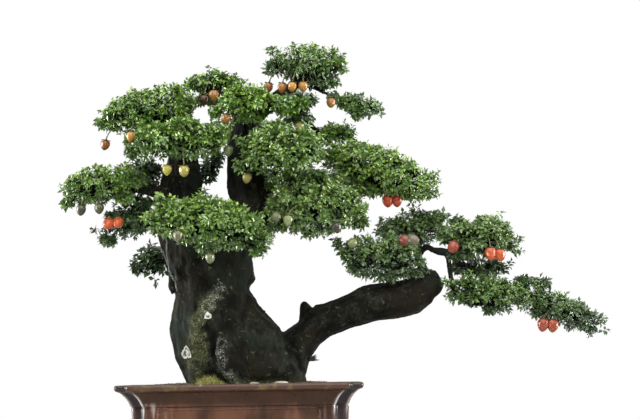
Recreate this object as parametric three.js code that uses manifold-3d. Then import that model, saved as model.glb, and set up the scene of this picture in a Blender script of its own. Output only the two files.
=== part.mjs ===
// A Chinese persimmon grown as a bonsai, in a glazed rectangular pot with notched corners.
// Millimetres, +Z up. The origin is under the middle of the pot, on the surface it stands on.
// The tree is meant to be seen along +Y, with its long arm reaching out to +X.
import * as THREE from "three";
import { LoftGeometry } from "three/addons/geometries/LoftGeometry.js";
import { mergeVertices } from "three/addons/utils/BufferGeometryUtils.js";
import Module from "manifold-3d";

const wasm = await Module();
wasm.setup();

// Driving dimensions of the pot.
const POT_HEIGHT = 195;
const POT_RIM_WIDTH = 524;
const POT_RIM_DEPTH = 362;
const POT_NOTCH = 28;
const NOTCH_TAPER = 0.06;
const POT_OVERHANG = 32;
const POT_WALL = 14;
const POT_FLOOR = 26;
const RIM_BAND = 13;
const RIM_LIP = 30;
const FOOT_HEIGHT = 12;
const FOOT_WIDTH = 74;
const FOOT_DEPTH = 54;
const FOOT_INSET = 18;
const MIDDLE_FOOT = 62;
const DRAIN_RADIUS = 15;
const DRAIN_OFFSET = 108;
const PANEL_BAR = 5;
const PANEL_RAISE = 2.5;
const PANEL_SUNK = 6;
const PANEL_SIDE_MARGIN = 28;
const PANEL_TOP = 150;
const PANEL_BOTTOM = 44;
const PANEL_FRAME_TOP = PANEL_TOP - 6;
const PANEL_TUCK = 4;

// Driving dimensions of the soil and of what is bedded in it.
const SOIL_EDGE_TOP = 186;
const SOIL_DOME_TOP = 197;
const STONE_DENTS = 0.28;
const FIT_GAP = 0.4;
const BED_GAP = 0.6;

// Driving dimensions of the leaves and fruits.
const MIDDLE_CUSHION = 60;
const BIG_CUSHION = 78;
const LEAF_SHORTEST = 28;
const LEAF_LONGEST = 44;
const LEAF_PART = 0.7;
const LEAF_SLIMNESS = 0.6;
const LEAF_WIDEST = 0.52;
const LEAF_VARIETY = 0.24;
const LEAF_THICKNESS = 2.4;
const LEAF_STEM = 3.6;
const STEM_PART = 0.4;
const LEAF_RISE = 0.8;
const LEAN_OUT = 0.7;
const LEAN_SWAY = 1.6;
const PEAK_RISE = 12;
const LEAF_CLEAR = 0.8;
const LEAF_SPACING = 74;
const LEAF_TRIES = 8;
const FEWEST_LEAVES = 11;
const FRUIT_SEED = 200;
const TWIN_SEED = 500;
const CORE_SEED = 300;
const LEAF_SEED = 400;
const FRUIT_RADIUS = 10.6;
const FRUIT_HEIGHT = 25;
const FRUIT_VARIETY = 0.12;
const UPRIGHT_TILT = 0.3;
const SIDEWAYS_TILT = 0.75;
const RED_FRUIT_SIZE = 1.15;
const CALYX_RADIUS = 11.5;
const CALYX_CLEFT = 0.5;
const CALYX_LEVEL = 0.42;
const STALK_LEVEL = 0.47;
const STALK_RADIUS = 1.4;
const STALK_SUNK = 9;
const STALK_FLARE = 1.5;
const STALK_LEAN = 0.45;
const STALK_HIGHEST = 0.35;
const STALK_RISE = 0.6 * FRUIT_HEIGHT;
const STALK_DEPTH = 0.82;

// Driving dimensions of the wood.
const TWIG_SIDES = 5;
const BRANCH_LUMPS = 0.05;
const DETAIL_LUMPS = 0.08;
const WAVE_DRIFT = 0.7;
const LIMB_SEED = 11;
const DETAIL_SEED = 31;
const TWIG_SEED = 61;

const UP = new THREE.Vector3(0, 0, 1);
const AWAY = new THREE.Vector3(0, 1, 0);

const MATERIALS = {
  glaze: new THREE.MeshStandardMaterial({ color: 0x6b4234, roughness: 0.32, metalness: 0 }),
  soil: new THREE.MeshStandardMaterial({ color: 0x3a3024, roughness: 1, metalness: 0 }),
  bark: new THREE.MeshStandardMaterial({ color: 0x24251f, roughness: 0.9, metalness: 0 }),
  stone: new THREE.MeshStandardMaterial({ color: 0xc9bfb0, roughness: 0.8, metalness: 0 }),
  leaf: new THREE.MeshStandardMaterial({ color: 0x5b8a35, roughness: 0.45, metalness: 0 }),
  shaded_leaf: new THREE.MeshStandardMaterial({ color: 0x2c4520, roughness: 0.5, metalness: 0 }),
  red_fruit: new THREE.MeshStandardMaterial({ color: 0xd8502c, roughness: 0.35, metalness: 0 }),
  orange_fruit: new THREE.MeshStandardMaterial({ color: 0xcf8b46, roughness: 0.4, metalness: 0 }),
  yellow_fruit: new THREE.MeshStandardMaterial({ color: 0xc9b755, roughness: 0.4, metalness: 0 }),
  green_fruit: new THREE.MeshStandardMaterial({ color: 0x6f7a4a, roughness: 0.45, metalness: 0 }),
};

// Seeded random numbers from 0 to 1.
function seeded(seed) {
  let state = seed >>> 0;
  return () => {
    state = (state + 0x6d2b79f5) | 0;
    let mixed = Math.imul(state ^ (state >>> 15), 1 | state);
    mixed = (mixed + Math.imul(mixed ^ (mixed >>> 7), 61 | mixed)) ^ mixed;
    return ((mixed ^ (mixed >>> 14)) >>> 0) / 4294967296;
  };
}

// A closed geometry as a solid that can be joined and cut.
function solidOf(geometry) {
  const bare = geometry.index ? geometry.toNonIndexed() : geometry.clone();
  bare.deleteAttribute("normal");
  bare.deleteAttribute("uv");
  const merged = mergeVertices(bare, 1e-3);
  return new wasm.Manifold(
    new wasm.Mesh({
      numProp: 3,
      vertProperties: merged.attributes.position.array,
      triVerts: merged.index.array,
    }),
  );
}

// A solid as a drawable geometry.
function geometryOf(solid) {
  const mesh = solid.getMesh();
  const geometry = new THREE.BufferGeometry();
  geometry.setAttribute("position", new THREE.BufferAttribute(mesh.vertProperties, 3));
  geometry.setIndex(new THREE.BufferAttribute(mesh.triVerts, 1));
  geometry.computeVertexNormals();
  return geometry;
}

function loft(sections) {
  return solidOf(new LoftGeometry(sections, { capStart: true, capEnd: true }));
}

// The biggest body of a solid, so that scraps cut off it are dropped.
function mainBody(solid) {
  const bodies = solid.decompose();
  return bodies.reduce((best, body) => (body.volume() > best.volume() ? body : best));
}

const bonsai = new THREE.Group();
bonsai.name = "chinese_persimmon_bonsai";

function addPiece(group, name, solid, material) {
  const mesh = new THREE.Mesh(geometryOf(solid), material.clone());
  mesh.name = name;
  group.add(mesh);
}

// Pot

// A rectangle with a square notch at each corner, counterclockwise from above.
function notchedOutline(halfWidth, halfDepth, notch, z) {
  const x = halfWidth;
  const y = halfDepth;
  const n = notch;
  return [
    [x, -y + n],
    [x, y - n],
    [x - n, y - n],
    [x - n, y],
    [-x + n, y],
    [-x + n, y - n],
    [-x, y - n],
    [-x, -y + n],
    [-x + n, -y + n],
    [-x + n, -y],
    [x - n, -y],
    [x - n, -y + n],
  ].map(([px, py]) => new THREE.Vector3(px, py, z));
}

// The pot's outline at height z, set in from the rim by inset.
function potOutline(inset, z) {
  const notch = POT_NOTCH - inset * NOTCH_TAPER;
  return notchedOutline(POT_RIM_WIDTH / 2 - inset, POT_RIM_DEPTH / 2 - inset, notch, z);
}

// Profile of the outside, from the underside to the rim: inset from the rim, and height.
const BODY_INSET = POT_OVERHANG + 6;
const POT_PROFILE = [
  [BODY_INSET - 1, FOOT_HEIGHT],
  [BODY_INSET - 5, FOOT_HEIGHT + 5],
  [BODY_INSET - 5, FOOT_HEIGHT + 18],
  [BODY_INSET, FOOT_HEIGHT + 24],
  [POT_OVERHANG + 2, PANEL_TOP - 22],
  [POT_OVERHANG, PANEL_TOP - 2],
  [POT_OVERHANG - 2, PANEL_TOP + 2],
  [POT_OVERHANG * 0.84, PANEL_TOP + 11],
  [POT_OVERHANG * 0.65, PANEL_TOP + 20],
  [12, POT_HEIGHT - RIM_BAND - 3],
  [2, POT_HEIGHT - RIM_BAND + 1],
  [0, POT_HEIGHT - RIM_BAND / 2],
  [1, POT_HEIGHT - 2],
  [3, POT_HEIGHT],
];
const CAVITY_PROFILE = [
  [BODY_INSET + POT_WALL, POT_FLOOR],
  [POT_OVERHANG + POT_WALL, PANEL_TOP - 10],
  [POT_OVERHANG + POT_WALL - 2, POT_HEIGHT - RIM_BAND - 12],
  [RIM_LIP, POT_HEIGHT + 1],
];

function box(width, depth, height, x, y, z) {
  const shape = new THREE.BoxGeometry(width, depth, height);
  return solidOf(shape.translate(x, y, z + height / 2));
}

// The raised frame of a panel, lying in the XZ plane with its face to -Y.
function panelFrame(width) {
  const outer = new THREE.Shape();
  outer.moveTo(-width / 2, PANEL_BOTTOM);
  outer.lineTo(width / 2, PANEL_BOTTOM);
  outer.lineTo(width / 2, PANEL_FRAME_TOP);
  outer.lineTo(-width / 2, PANEL_FRAME_TOP);
  outer.closePath();
  const inner = new THREE.Path();
  const x = width / 2 - PANEL_BAR;
  inner.moveTo(-x, PANEL_BOTTOM + PANEL_BAR);
  inner.lineTo(-x, PANEL_FRAME_TOP - PANEL_BAR);
  inner.lineTo(x, PANEL_FRAME_TOP - PANEL_BAR);
  inner.lineTo(x, PANEL_BOTTOM + PANEL_BAR);
  inner.closePath();
  outer.holes.push(inner);
  const frame = new THREE.ExtrudeGeometry(outer, {
    depth: PANEL_RAISE + PANEL_SUNK,
    bevelEnabled: false,
  });
  return frame.rotateX(Math.PI / 2);
}

function makePot() {
  const outside = loft(POT_PROFILE.map(([inset, z]) => potOutline(inset, z)));
  const cavity = loft(CAVITY_PROFILE.map(([inset, z]) => potOutline(inset, z)));
  const added = [];
  const faceY = POT_RIM_DEPTH / 2 - BODY_INSET;
  const faceX = POT_RIM_WIDTH / 2 - BODY_INSET;
  const frontWidth = POT_RIM_WIDTH - 2 * (BODY_INSET + POT_NOTCH + PANEL_SIDE_MARGIN);
  const sideWidth = POT_RIM_DEPTH - 2 * (BODY_INSET + POT_NOTCH + PANEL_SIDE_MARGIN);
  for (const [width, face, turn] of [
    [frontWidth, faceY, 0],
    [sideWidth, faceX, Math.PI / 2],
    [frontWidth, faceY, Math.PI],
    [sideWidth, faceX, -Math.PI / 2],
  ]) {
    const frame = panelFrame(width).translate(0, -face + PANEL_TUCK, 0).rotateZ(turn);
    added.push(solidOf(frame));
  }
  const footX = POT_RIM_WIDTH / 2 - BODY_INSET - FOOT_INSET - FOOT_WIDTH / 2;
  const footY = POT_RIM_DEPTH / 2 - BODY_INSET - FOOT_INSET - FOOT_DEPTH / 2;
  for (const x of [-footX, footX])
    for (const y of [-footY, footY]) {
      added.push(box(FOOT_WIDTH, FOOT_DEPTH, FOOT_HEIGHT + 2, x, y, 0));
    }
  added.push(box(MIDDLE_FOOT, MIDDLE_FOOT, FOOT_HEIGHT + 2, 0, 0, 0));
  let pot = wasm.Manifold.union([outside, ...added]).subtract(cavity);
  for (const x of [-DRAIN_OFFSET, DRAIN_OFFSET]) {
    const hole = new THREE.CylinderGeometry(DRAIN_RADIUS, DRAIN_RADIUS, 3 * POT_FLOOR, 16);
    pot = pot.subtract(solidOf(hole.rotateX(Math.PI / 2).translate(x, 0, 0)));
  }
  return pot;
}

// Wood

// A limb along a smooth line through its stations. A station is [x, y, z, half width, half depth],
// and the depth is the width where it isn't given. grow makes it larger all round, for a hole.
function limb(stations, { sides, lumps = BRANCH_LUMPS, seed, grow }) {
  const centres = stations.map(([x, y, z]) => new THREE.Vector3(x, y, z));
  const line = new THREE.CatmullRomCurve3(centres, false, "centripetal");
  const random = seeded(seed);
  const waves = [2, 3, 5].map((turns) => ({ turns, phase: 2 * Math.PI * random(), drift: random() - 0.5 }));
  const last = stations.length - 1;
  const firstHeading = line.getTangent(0);
  const deepAxis = Math.abs(firstHeading.dot(AWAY)) < 0.8 ? AWAY.clone() : UP.clone();
  const sections = stations.map((station, i) => {
    const centre = centres[i].clone();
    const heading = line.getTangent(i / last);
    deepAxis.addScaledVector(heading, -deepAxis.dot(heading)).normalize();
    const wideAxis = new THREE.Vector3().crossVectors(deepAxis, heading);
    if (i === 0) centre.addScaledVector(heading, -grow);
    if (i === last) centre.addScaledVector(heading, grow);
    const wide = station[3];
    const deep = station[4] ?? wide;
    return Array.from({ length: sides }, (unused, k) => {
      const angle = (2 * Math.PI * k) / sides;
      const relief = waves.reduce(
        (sum, wave) => sum + Math.sin(wave.turns * angle + wave.phase + wave.drift * i * WAVE_DRIFT),
        0,
      );
      const swell = 1 + (lumps * relief) / 2;
      return centre
        .clone()
        .addScaledVector(wideAxis, Math.cos(angle) * (wide * swell + grow))
        .addScaledVector(deepAxis, Math.sin(angle) * (deep * swell + grow));
    });
  });
  return loft(sections);
}

function mix(a, b, part) {
  return a + (b - a) * part;
}

// The stout limbs, from the root base up.
const STOUT_LIMBS = [
  // Trunk
  {
    sides: 12,
    lumps: 0.04,
    line: [
      [25, 0, 148, 120, 88],
      [12, 0, 205, 127, 94],
      [-19, 0, 262, 119, 92],
      [-44, 0, 300, 110, 88],
      [-56, 0, 336, 104, 84],
      [-56, 0, 370, 92, 78],
      [-62, 0, 396, 82, 72],
      [-60, 0, 430, 92, 70],
      [-72, 0, 470, 96, 68],
      [-79, 2, 515, 104, 62],
      [-60, 5, 570, 88, 46],
    ],
  },
  // Arm that leans out to the right
  {
    sides: 10,
    lumps: 0.05,
    line: [
      [54, 0, 190, 58, 68],
      [88, 0, 235, 52, 60],
      [118, 0, 274, 42, 50],
      [150, 0, 303, 34, 42],
      [180, 0, 325, 35, 38],
      [225, 0, 343, 36, 38],
      [278, 0, 363, 40, 38],
      [334, 0, 370, 42, 38],
      [376, 0, 378, 40, 36],
      [404, 0, 400, 41, 34],
      [426, 0, 404, 33, 28],
      [443, 0, 397, 12, 12],
    ],
  },
  // Middle limb, up to the crown
  {
    sides: 10,
    lumps: 0.05,
    line: [
      [-14, 3, 495, 46, 46],
      [18, 5, 548, 52, 44],
      [28, 6, 592, 50, 42],
      [17, 8, 640, 48, 40],
      [13, 10, 690, 44, 36],
      [12, 12, 735, 34, 30],
      [24, 15, 785, 25],
      [74, 12, 822, 18],
      [116, 8, 848, 14],
      [138, 6, 872, 12],
      [150, 8, 896, 8],
    ],
  },
  // Left limb
  {
    sides: 10,
    lumps: 0.05,
    line: [
      [-120, 3, 495, 58, 46],
      [-138, 6, 550, 50, 42],
      [-136, 8, 600, 48, 40],
      [-130, 8, 648, 46, 38],
      [-128, 4, 690, 34, 30],
      [-134, 0, 730, 22],
      [-165, -6, 766, 15],
      [-200, -8, 786, 9],
    ],
  },
];

// Ridges, stubs and roots that stand out of the trunk.
const TRUNK_DETAILS = [
  {
    sides: 7,
    line: [
      [-46, -56, 330, 16],
      [-38, -76, 285, 19],
      [-20, -90, 240, 20],
      [4, -98, 200, 22],
      [14, -100, 176, 20],
    ],
  },
  { sides: 7, line: [[-98, -46, 262, 20], [-94, -68, 222, 20], [-90, -80, 176, 20]] },
  { sides: 7, line: [[92, -34, 240, 20], [104, -56, 208, 22], [110, -66, 176, 22]] },
  { sides: 7, line: [[60, 40, 262, 22], [74, 70, 222, 24], [80, 84, 176, 24]] },
  { sides: 7, line: [[-84, 42, 268, 22], [-88, 66, 226, 24], [-88, 80, 176, 24]] },
  { sides: 7, line: [[-6, -8, 418, 24], [18, -8, 426, 17], [30, -6, 429, 8]] },
  { sides: 7, line: [[142, 0, 326, 17], [140, -2, 350, 14], [142, -3, 365, 12], [144, -3, 372, 6]] },
  { sides: 6, line: [[-148, -14, 436, 12], [-149, -20, 412, 9], [-149, -22, 392, 3]] },
  { sides: 5, line: [[118, -12, 245, 9], [140, -13, 244, 5], [160, -13, 241, 1.5]] },
  { sides: 5, line: [[128, -12, 247, 5], [145, -14, 250, 3], [155, -15, 254, 1.2]] },
  {
    sides: 6,
    line: [
      [-168, -8, 514, 6],
      [-158, -34, 474, 5],
      [-148, -42, 453, 5],
      [-135, -52, 431, 5],
      [-126, -54, 418, 3],
    ],
  },
];

// A branch to each leaf cushion. The last station lies inside the cushion.
const BRANCHES = {
  mid_left: [[-126, -20, 655, 16], [-128, -60, 684, 11], [-123, -104, 706, 7]],
  low_left: [[-150, 4, 608, 17], [-215, -8, 626, 11], [-312, -20, 624, 6]],
  low_left_inner: [[-190, -2, 622, 9], [-216, 36, 662, 5]],
  under_left: [[-150, 10, 548, 14], [-200, 28, 546, 9], [-252, 34, 546, 6]],
  front_low: [[-70, -30, 505, 18], [-68, -80, 518, 13], [-67, -140, 528, 8]],
  sprig_left: [[-158, 4, 466, 8], [-204, 20, 464, 4]],
  inner_left: [[-112, 20, 636, 12], [-76, 60, 666, 5]],
  high_back: [[16, 16, 752, 16], [-14, 34, 806, 11], [-58, 56, 862, 6]],
  high_front: [[14, 4, 738, 14], [16, -44, 764, 10], [19, -84, 790, 6]],
  centre: [[14, -10, 668, 16], [52, -60, 678, 11], [92, -104, 688, 7]],
  centre_low: [[34, -10, 588, 20], [92, -44, 560, 13], [162, -80, 562, 6]],
  long_right: [[24, 4, 704, 18], [110, -6, 706, 14], [230, -14, 688, 9], [360, -20, 642, 4]],
  long_right_back: [[100, 8, 838, 10], [140, 28, 790, 8], [180, 50, 750, 7], [222, 60, 748, 5]],
  crown_right: [[138, 6, 870, 8], [182, 2, 840, 6], [247, 0, 814, 5], [286, 0, 806, 4]],
  crown_under: [[96, 6, 834, 8], [128, -56, 810, 5]],
  back_high: [[20, 24, 756, 16], [24, 96, 770, 11], [26, 176, 772, 7]],
  back_low: [[36, 26, 604, 18], [92, 98, 604, 12], [150, 170, 598, 7]],
  back_left: [[-130, 20, 690, 14], [-156, 84, 728, 10], [-180, 142, 754, 6]],
  arm_back: [[402, 0, 438, 11], [390, 0, 468, 9], [396, 20, 502, 8], [390, 46, 532, 6]],
  arm_inner: [[336, -8, 396, 15], [322, -24, 428, 11], [306, -38, 456, 7]],
  arm_right: [[388, 0, 470, 9], [409, -2, 488, 8], [441, -4, 477, 8], [472, -6, 474, 7], [528, -10, 498, 5]],
  arm_under: [[452, -2, 474, 7], [486, 24, 450, 6], [524, 40, 442, 4]],
  tail_near: [[456, -5, 472, 8], [462, -10, 412, 7], [503, -24, 394, 6], [569, -28, 386, 5]],
  tail_far: [[560, -28, 387, 5], [640, -18, 374, 5], [726, -10, 336, 3]],
};

function limbSolids(grow) {
  const solids = [];
  STOUT_LIMBS.forEach(({ line, sides, lumps }, index) => {
    solids.push(limb(line, { sides, lumps, seed: LIMB_SEED + index, grow }));
  });
  TRUNK_DETAILS.forEach(({ line, sides }, index) => {
    solids.push(limb(line, { sides, lumps: DETAIL_LUMPS, seed: DETAIL_SEED + index, grow }));
  });
  Object.values(BRANCHES).forEach((line, index) => {
    solids.push(limb(line, { sides: TWIG_SIDES, seed: TWIG_SEED + index, grow }));
  });
  return solids;
}

const wholeWood = wasm.Manifold.union(limbSolids(0));
const woodHole = wasm.Manifold.union(limbSolids(BED_GAP));

// Soil and stones

// A stone as a flattened ball with seeded dents.
function makeStone([x, y, z], [halfX, halfY, halfZ], seed) {
  const random = seeded(seed);
  const ball = facetedBall(new THREE.IcosahedronGeometry(1, 0));
  const place = ball.attributes.position;
  for (let i = 0; i < place.count; i++) {
    const point = new THREE.Vector3().fromBufferAttribute(place, i);
    point.multiplyScalar(1 + STONE_DENTS * (random() - 0.5));
    place.setXYZ(i, x + point.x * halfX, y + point.y * halfY, z + point.z * halfZ);
  }
  return solidOf(ball);
}

// A round ball of flat faces, with its corners shared.
function facetedBall(geometry) {
  geometry.deleteAttribute("normal");
  geometry.deleteAttribute("uv");
  return mergeVertices(geometry);
}

const STONES = {
  stone_left: { at: [32, -128, 193], half: [12, 9, 6], seed: 5 },
  stone_right: { at: [88, -130, 193.4], half: [18, 11, 7], seed: 8 },
};

// The soil's dome: inset from the pot's rim, and how far it has risen there from its edge to its top.
const SOIL_DOME = [
  [58, 0.5],
  [80, 0.82],
  [120, 1],
];

// The soil fills the pot and rises towards the trunk.
function makeSoil() {
  const gap = FIT_GAP;
  const wallInset = CAVITY_PROFILE[0][0] + gap;
  const sections = [
    potOutline(wallInset, POT_FLOOR + gap),
    potOutline(CAVITY_PROFILE[1][0] + gap, CAVITY_PROFILE[1][1]),
    potOutline(CAVITY_PROFILE[2][0] + gap, CAVITY_PROFILE[2][1]),
    potOutline(CAVITY_PROFILE[2][0] - 1 + gap, SOIL_EDGE_TOP - 10),
    potOutline(CAVITY_PROFILE[2][0] - 3 + gap, SOIL_EDGE_TOP),
    ...SOIL_DOME.map(([inset, part]) => potOutline(inset, mix(SOIL_EDGE_TOP, SOIL_DOME_TOP, part))),
  ];
  return loft(sections).subtract(woodHole);
}

const stones = Object.entries(STONES).map(([name, { at, half, seed }]) => {
  const grown = half.map((size) => size + BED_GAP);
  return { name, solid: makeStone(at, half, seed), hole: makeStone(at, grown, seed) };
});

let soil = makeSoil();
for (const { hole } of stones) soil = soil.subtract(hole);

// Leaf cushions

// A cushion is [centre], [half sizes], and its slope down to the right in degrees.
const CUSHIONS = {
  crown: { at: [154, 10, 903], half: [100, 76, 47], slope: 5 },
  crown_right: { at: [264, 0, 812], half: [66, 38, 32], slope: 13 },
  crown_under: { at: [132, -60, 806], half: [58, 46, 30], shaded: true },
  high_back: { at: [-63, 62, 870], half: [73, 58, 32] },
  high_front: { at: [19, -92, 803], half: [72, 62, 42] },
  high_left: { at: [-201, -10, 797], half: [114, 84, 54], slope: -13 },
  mid_left: { at: [-121, -112, 720], half: [113, 64, 50] },
  low_left: { at: [-304, -20, 632], half: [98, 74, 45], slope: -10 },
  low_left_inner: { at: [-216, 38, 658], half: [56, 48, 52], shaded: true },
  under_left: { at: [-248, 36, 557], half: [77, 48, 45], slope: -8, shaded: true },
  front_low: { at: [-62, -152, 530], half: [134, 84, 62], slope: 9 },
  sprig_left: { at: [-204, 20, 462], half: [50, 36, 52], shaded: true },
  centre: { at: [98, -116, 688], half: [103, 78, 65] },
  long_right: { at: [320, -20, 652], half: [132, 84, 55], slope: 22 },
  long_right_back: { at: [214, 64, 750], half: [64, 46, 28] },
  centre_low: { at: [163, -84, 566], half: [117, 80, 69] },
  inner_left: { at: [-76, 66, 670], half: [34, 32, 42], shaded: true },
  arm_back: { at: [390, 52, 535], half: [75, 56, 46], slope: 8 },
  arm_inner: { at: [303, -44, 466], half: [96, 62, 53] },
  arm_right: { at: [536, -12, 506], half: [82, 64, 50] },
  arm_under: { at: [536, 44, 440], half: [72, 44, 30], shaded: true },
  tail_near: { at: [543, -30, 383], half: [100, 52, 38], slope: 7 },
  tail_far: { at: [702, -10, 344], half: [100, 46, 37], slope: 25 },
  back_high: { at: [26, 190, 774], half: [98, 76, 38] },
  back_low: { at: [157, 182, 598], half: [104, 78, 46] },
  back_left: { at: [-178, 152, 759], half: [94, 66, 39] },
};

// How far the core stays inside the cushion's outer size: across, and up and down.
const CORE_INSET = [15, 15, 9];
const CORE_SWELL = 1.04;
const CORE_LUMPS = 0.14;
const CORE_FLATNESS = 0.88;
const PEAK_SLOPE = 0.35;
const PEAK_VARIETY = 0.6;

function slopeOf(cushion) {
  return new THREE.Matrix4().makeRotationY(THREE.MathUtils.degToRad(cushion.slope ?? 0));
}

// Bigger cushions have more faces: 20, 32 or 80.
function ballFor({ half }) {
  if (half[0] < MIDDLE_CUSHION) return facetedBall(new THREE.IcosahedronGeometry(1, 0));
  if (half[0] < BIG_CUSHION) return facetedBall(new THREE.OctahedronGeometry(1, 1));
  return facetedBall(new THREE.IcosahedronGeometry(1, 1));
}

// A core is a lumpy ball, flatter below. Each of its faces has three corners and a peak,
// which stands over one side of the face as the pointed tip of a leaf lying on the cushion.
function coreFaces(cushion, seed, grow = 0) {
  const random = seeded(seed);
  const ball = ballFor(cushion);
  const place = ball.attributes.position;
  const slope = slopeOf(cushion);
  const corners = Array.from({ length: place.count }, (unused, i) => {
    const way = new THREE.Vector3().fromBufferAttribute(place, i);
    const swell = CORE_SWELL + CORE_LUMPS * (random() - 0.5);
    const sizes = cushion.half.map((half, k) => (half - CORE_INSET[k]) * swell + grow);
    const corner = new THREE.Vector3(way.x * sizes[0], way.y * sizes[1], way.z * sizes[2]);
    if (way.z < 0) corner.z *= CORE_FLATNESS;
    return corner.applyMatrix4(slope).add(new THREE.Vector3(...cushion.at));
  });
  const index = ball.index.array;
  return Array.from({ length: index.length / 3 }, (unused, i) => {
    const face = [0, 1, 2].map((k) => corners[index[3 * i + k]]);
    const side = face[Math.floor(3 * random())];
    const edge = face[0].distanceTo(face[1]);
    const variety = 1 + PEAK_VARIETY * (random() - 0.5);
    const rise = Math.min(PEAK_RISE, PEAK_SLOPE * edge) * variety + grow;
    const peak = middleOf(face).lerp(side, 0.5).addScaledVector(normalOf(face), rise);
    return { corners: face, peak };
  });
}

// Triangles between two rings of as many corners.
function band(low, high) {
  return low.flatMap((corner, k) => {
    const next = (k + 1) % low.length;
    return [corner, low[next], high[next], corner, high[next], high[k]];
  });
}

function fan(ring, tip) {
  return ring.flatMap((corner, k) => [corner, ring[(k + 1) % ring.length], tip]);
}

function solidOfCorners(corners) {
  return solidOf(new THREE.BufferGeometry().setFromPoints(corners));
}

function middleOf(points) {
  return points.reduce((sum, point) => sum.add(point), new THREE.Vector3()).divideScalar(points.length);
}

function normalOf([a, b, c]) {
  return new THREE.Vector3().subVectors(b, a).cross(new THREE.Vector3().subVectors(c, a)).normalize();
}

// A pointed blade that rises from the middle of a core's face on a short stem and leans along the cushion.
// Its three-cornered section has a keel below. grow makes it larger all round.
function bladeRings(face, lean, length, grow = 0) {
  const middle = middleOf(face);
  const outward = normalOf(face);
  const along = outward.clone().multiplyScalar(LEAF_RISE).add(lean).normalize();
  const across = new THREE.Vector3().crossVectors(along, outward).normalize();
  const upper = new THREE.Vector3().crossVectors(across, along);
  const halfWidth = (LEAF_SLIMNESS * length) / 2 + grow;
  const root = face.map((corner) => {
    const side = corner.clone().sub(middle).normalize();
    return middle.clone().addScaledVector(side, LEAF_STEM + grow);
  });
  const belly = middle.clone().addScaledVector(along, LEAF_WIDEST * length);
  const section = [
    belly.clone().addScaledVector(across, -halfWidth).addScaledVector(upper, grow),
    belly.clone().addScaledVector(across, halfWidth).addScaledVector(upper, grow),
    belly.clone().addScaledVector(upper, -LEAF_THICKNESS - grow),
  ];
  const twist = (turn) => root.reduce((sum, point, k) => sum + point.distanceTo(section[(k + turn) % 3]), 0);
  const best = [0, 1, 2].reduce((least, turn) => (twist(turn) < twist(least) ? turn : least));
  const wide = root.map((unused, k) => section[(k + best) % 3]);
  const tip = middle.clone().addScaledVector(along, length + grow);
  return { root, wide, tip };
}

// One blade by itself, from its stem or from partway along it, for testing what it would touch.
function bladeAlone({ root, wide, tip }, from = 0) {
  const start = root.map((corner, k) => corner.clone().lerp(wide[k], from));
  return solidOfCorners([...start.slice().reverse(), ...band(start, wide), ...fan(wide, tip)]);
}

// The core with its blades raised out of their faces.
function coreWithBlades(faces, blades = new Map()) {
  const corners = faces.flatMap(({ corners: face, peak }, i) => {
    const blade = blades.get(i);
    if (!blade) return fan(face, peak);
    return [...band(face, blade.root), ...band(blade.root, blade.wide), ...fan(blade.wide, blade.tip)];
  });
  return solidOfCorners(corners);
}

// Even directions over a ball, turned by a seeded angle.
function evenDirections(count, turn) {
  const golden = Math.PI * (3 - Math.sqrt(5));
  return Array.from({ length: count }, (unused, i) => {
    const z = 1 - (2 * i + 1) / count;
    const ring = Math.sqrt(1 - z * z);
    const angle = golden * i + turn;
    return new THREE.Vector3(Math.cos(angle) * ring, Math.sin(angle) * ring, z);
  });
}

function boxesTouch(a, b) {
  return [0, 1, 2].every((i) => a.min[i] <= b.max[i] && b.min[i] <= a.max[i]);
}

function touches({ solid, bounds }, others) {
  return others.some((other) => boxesTouch(bounds, other.bounds) && !solid.intersect(other.solid).isEmpty());
}

function bounded(solid) {
  return { solid, bounds: solid.boundingBox() };
}

// Fruits

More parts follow.
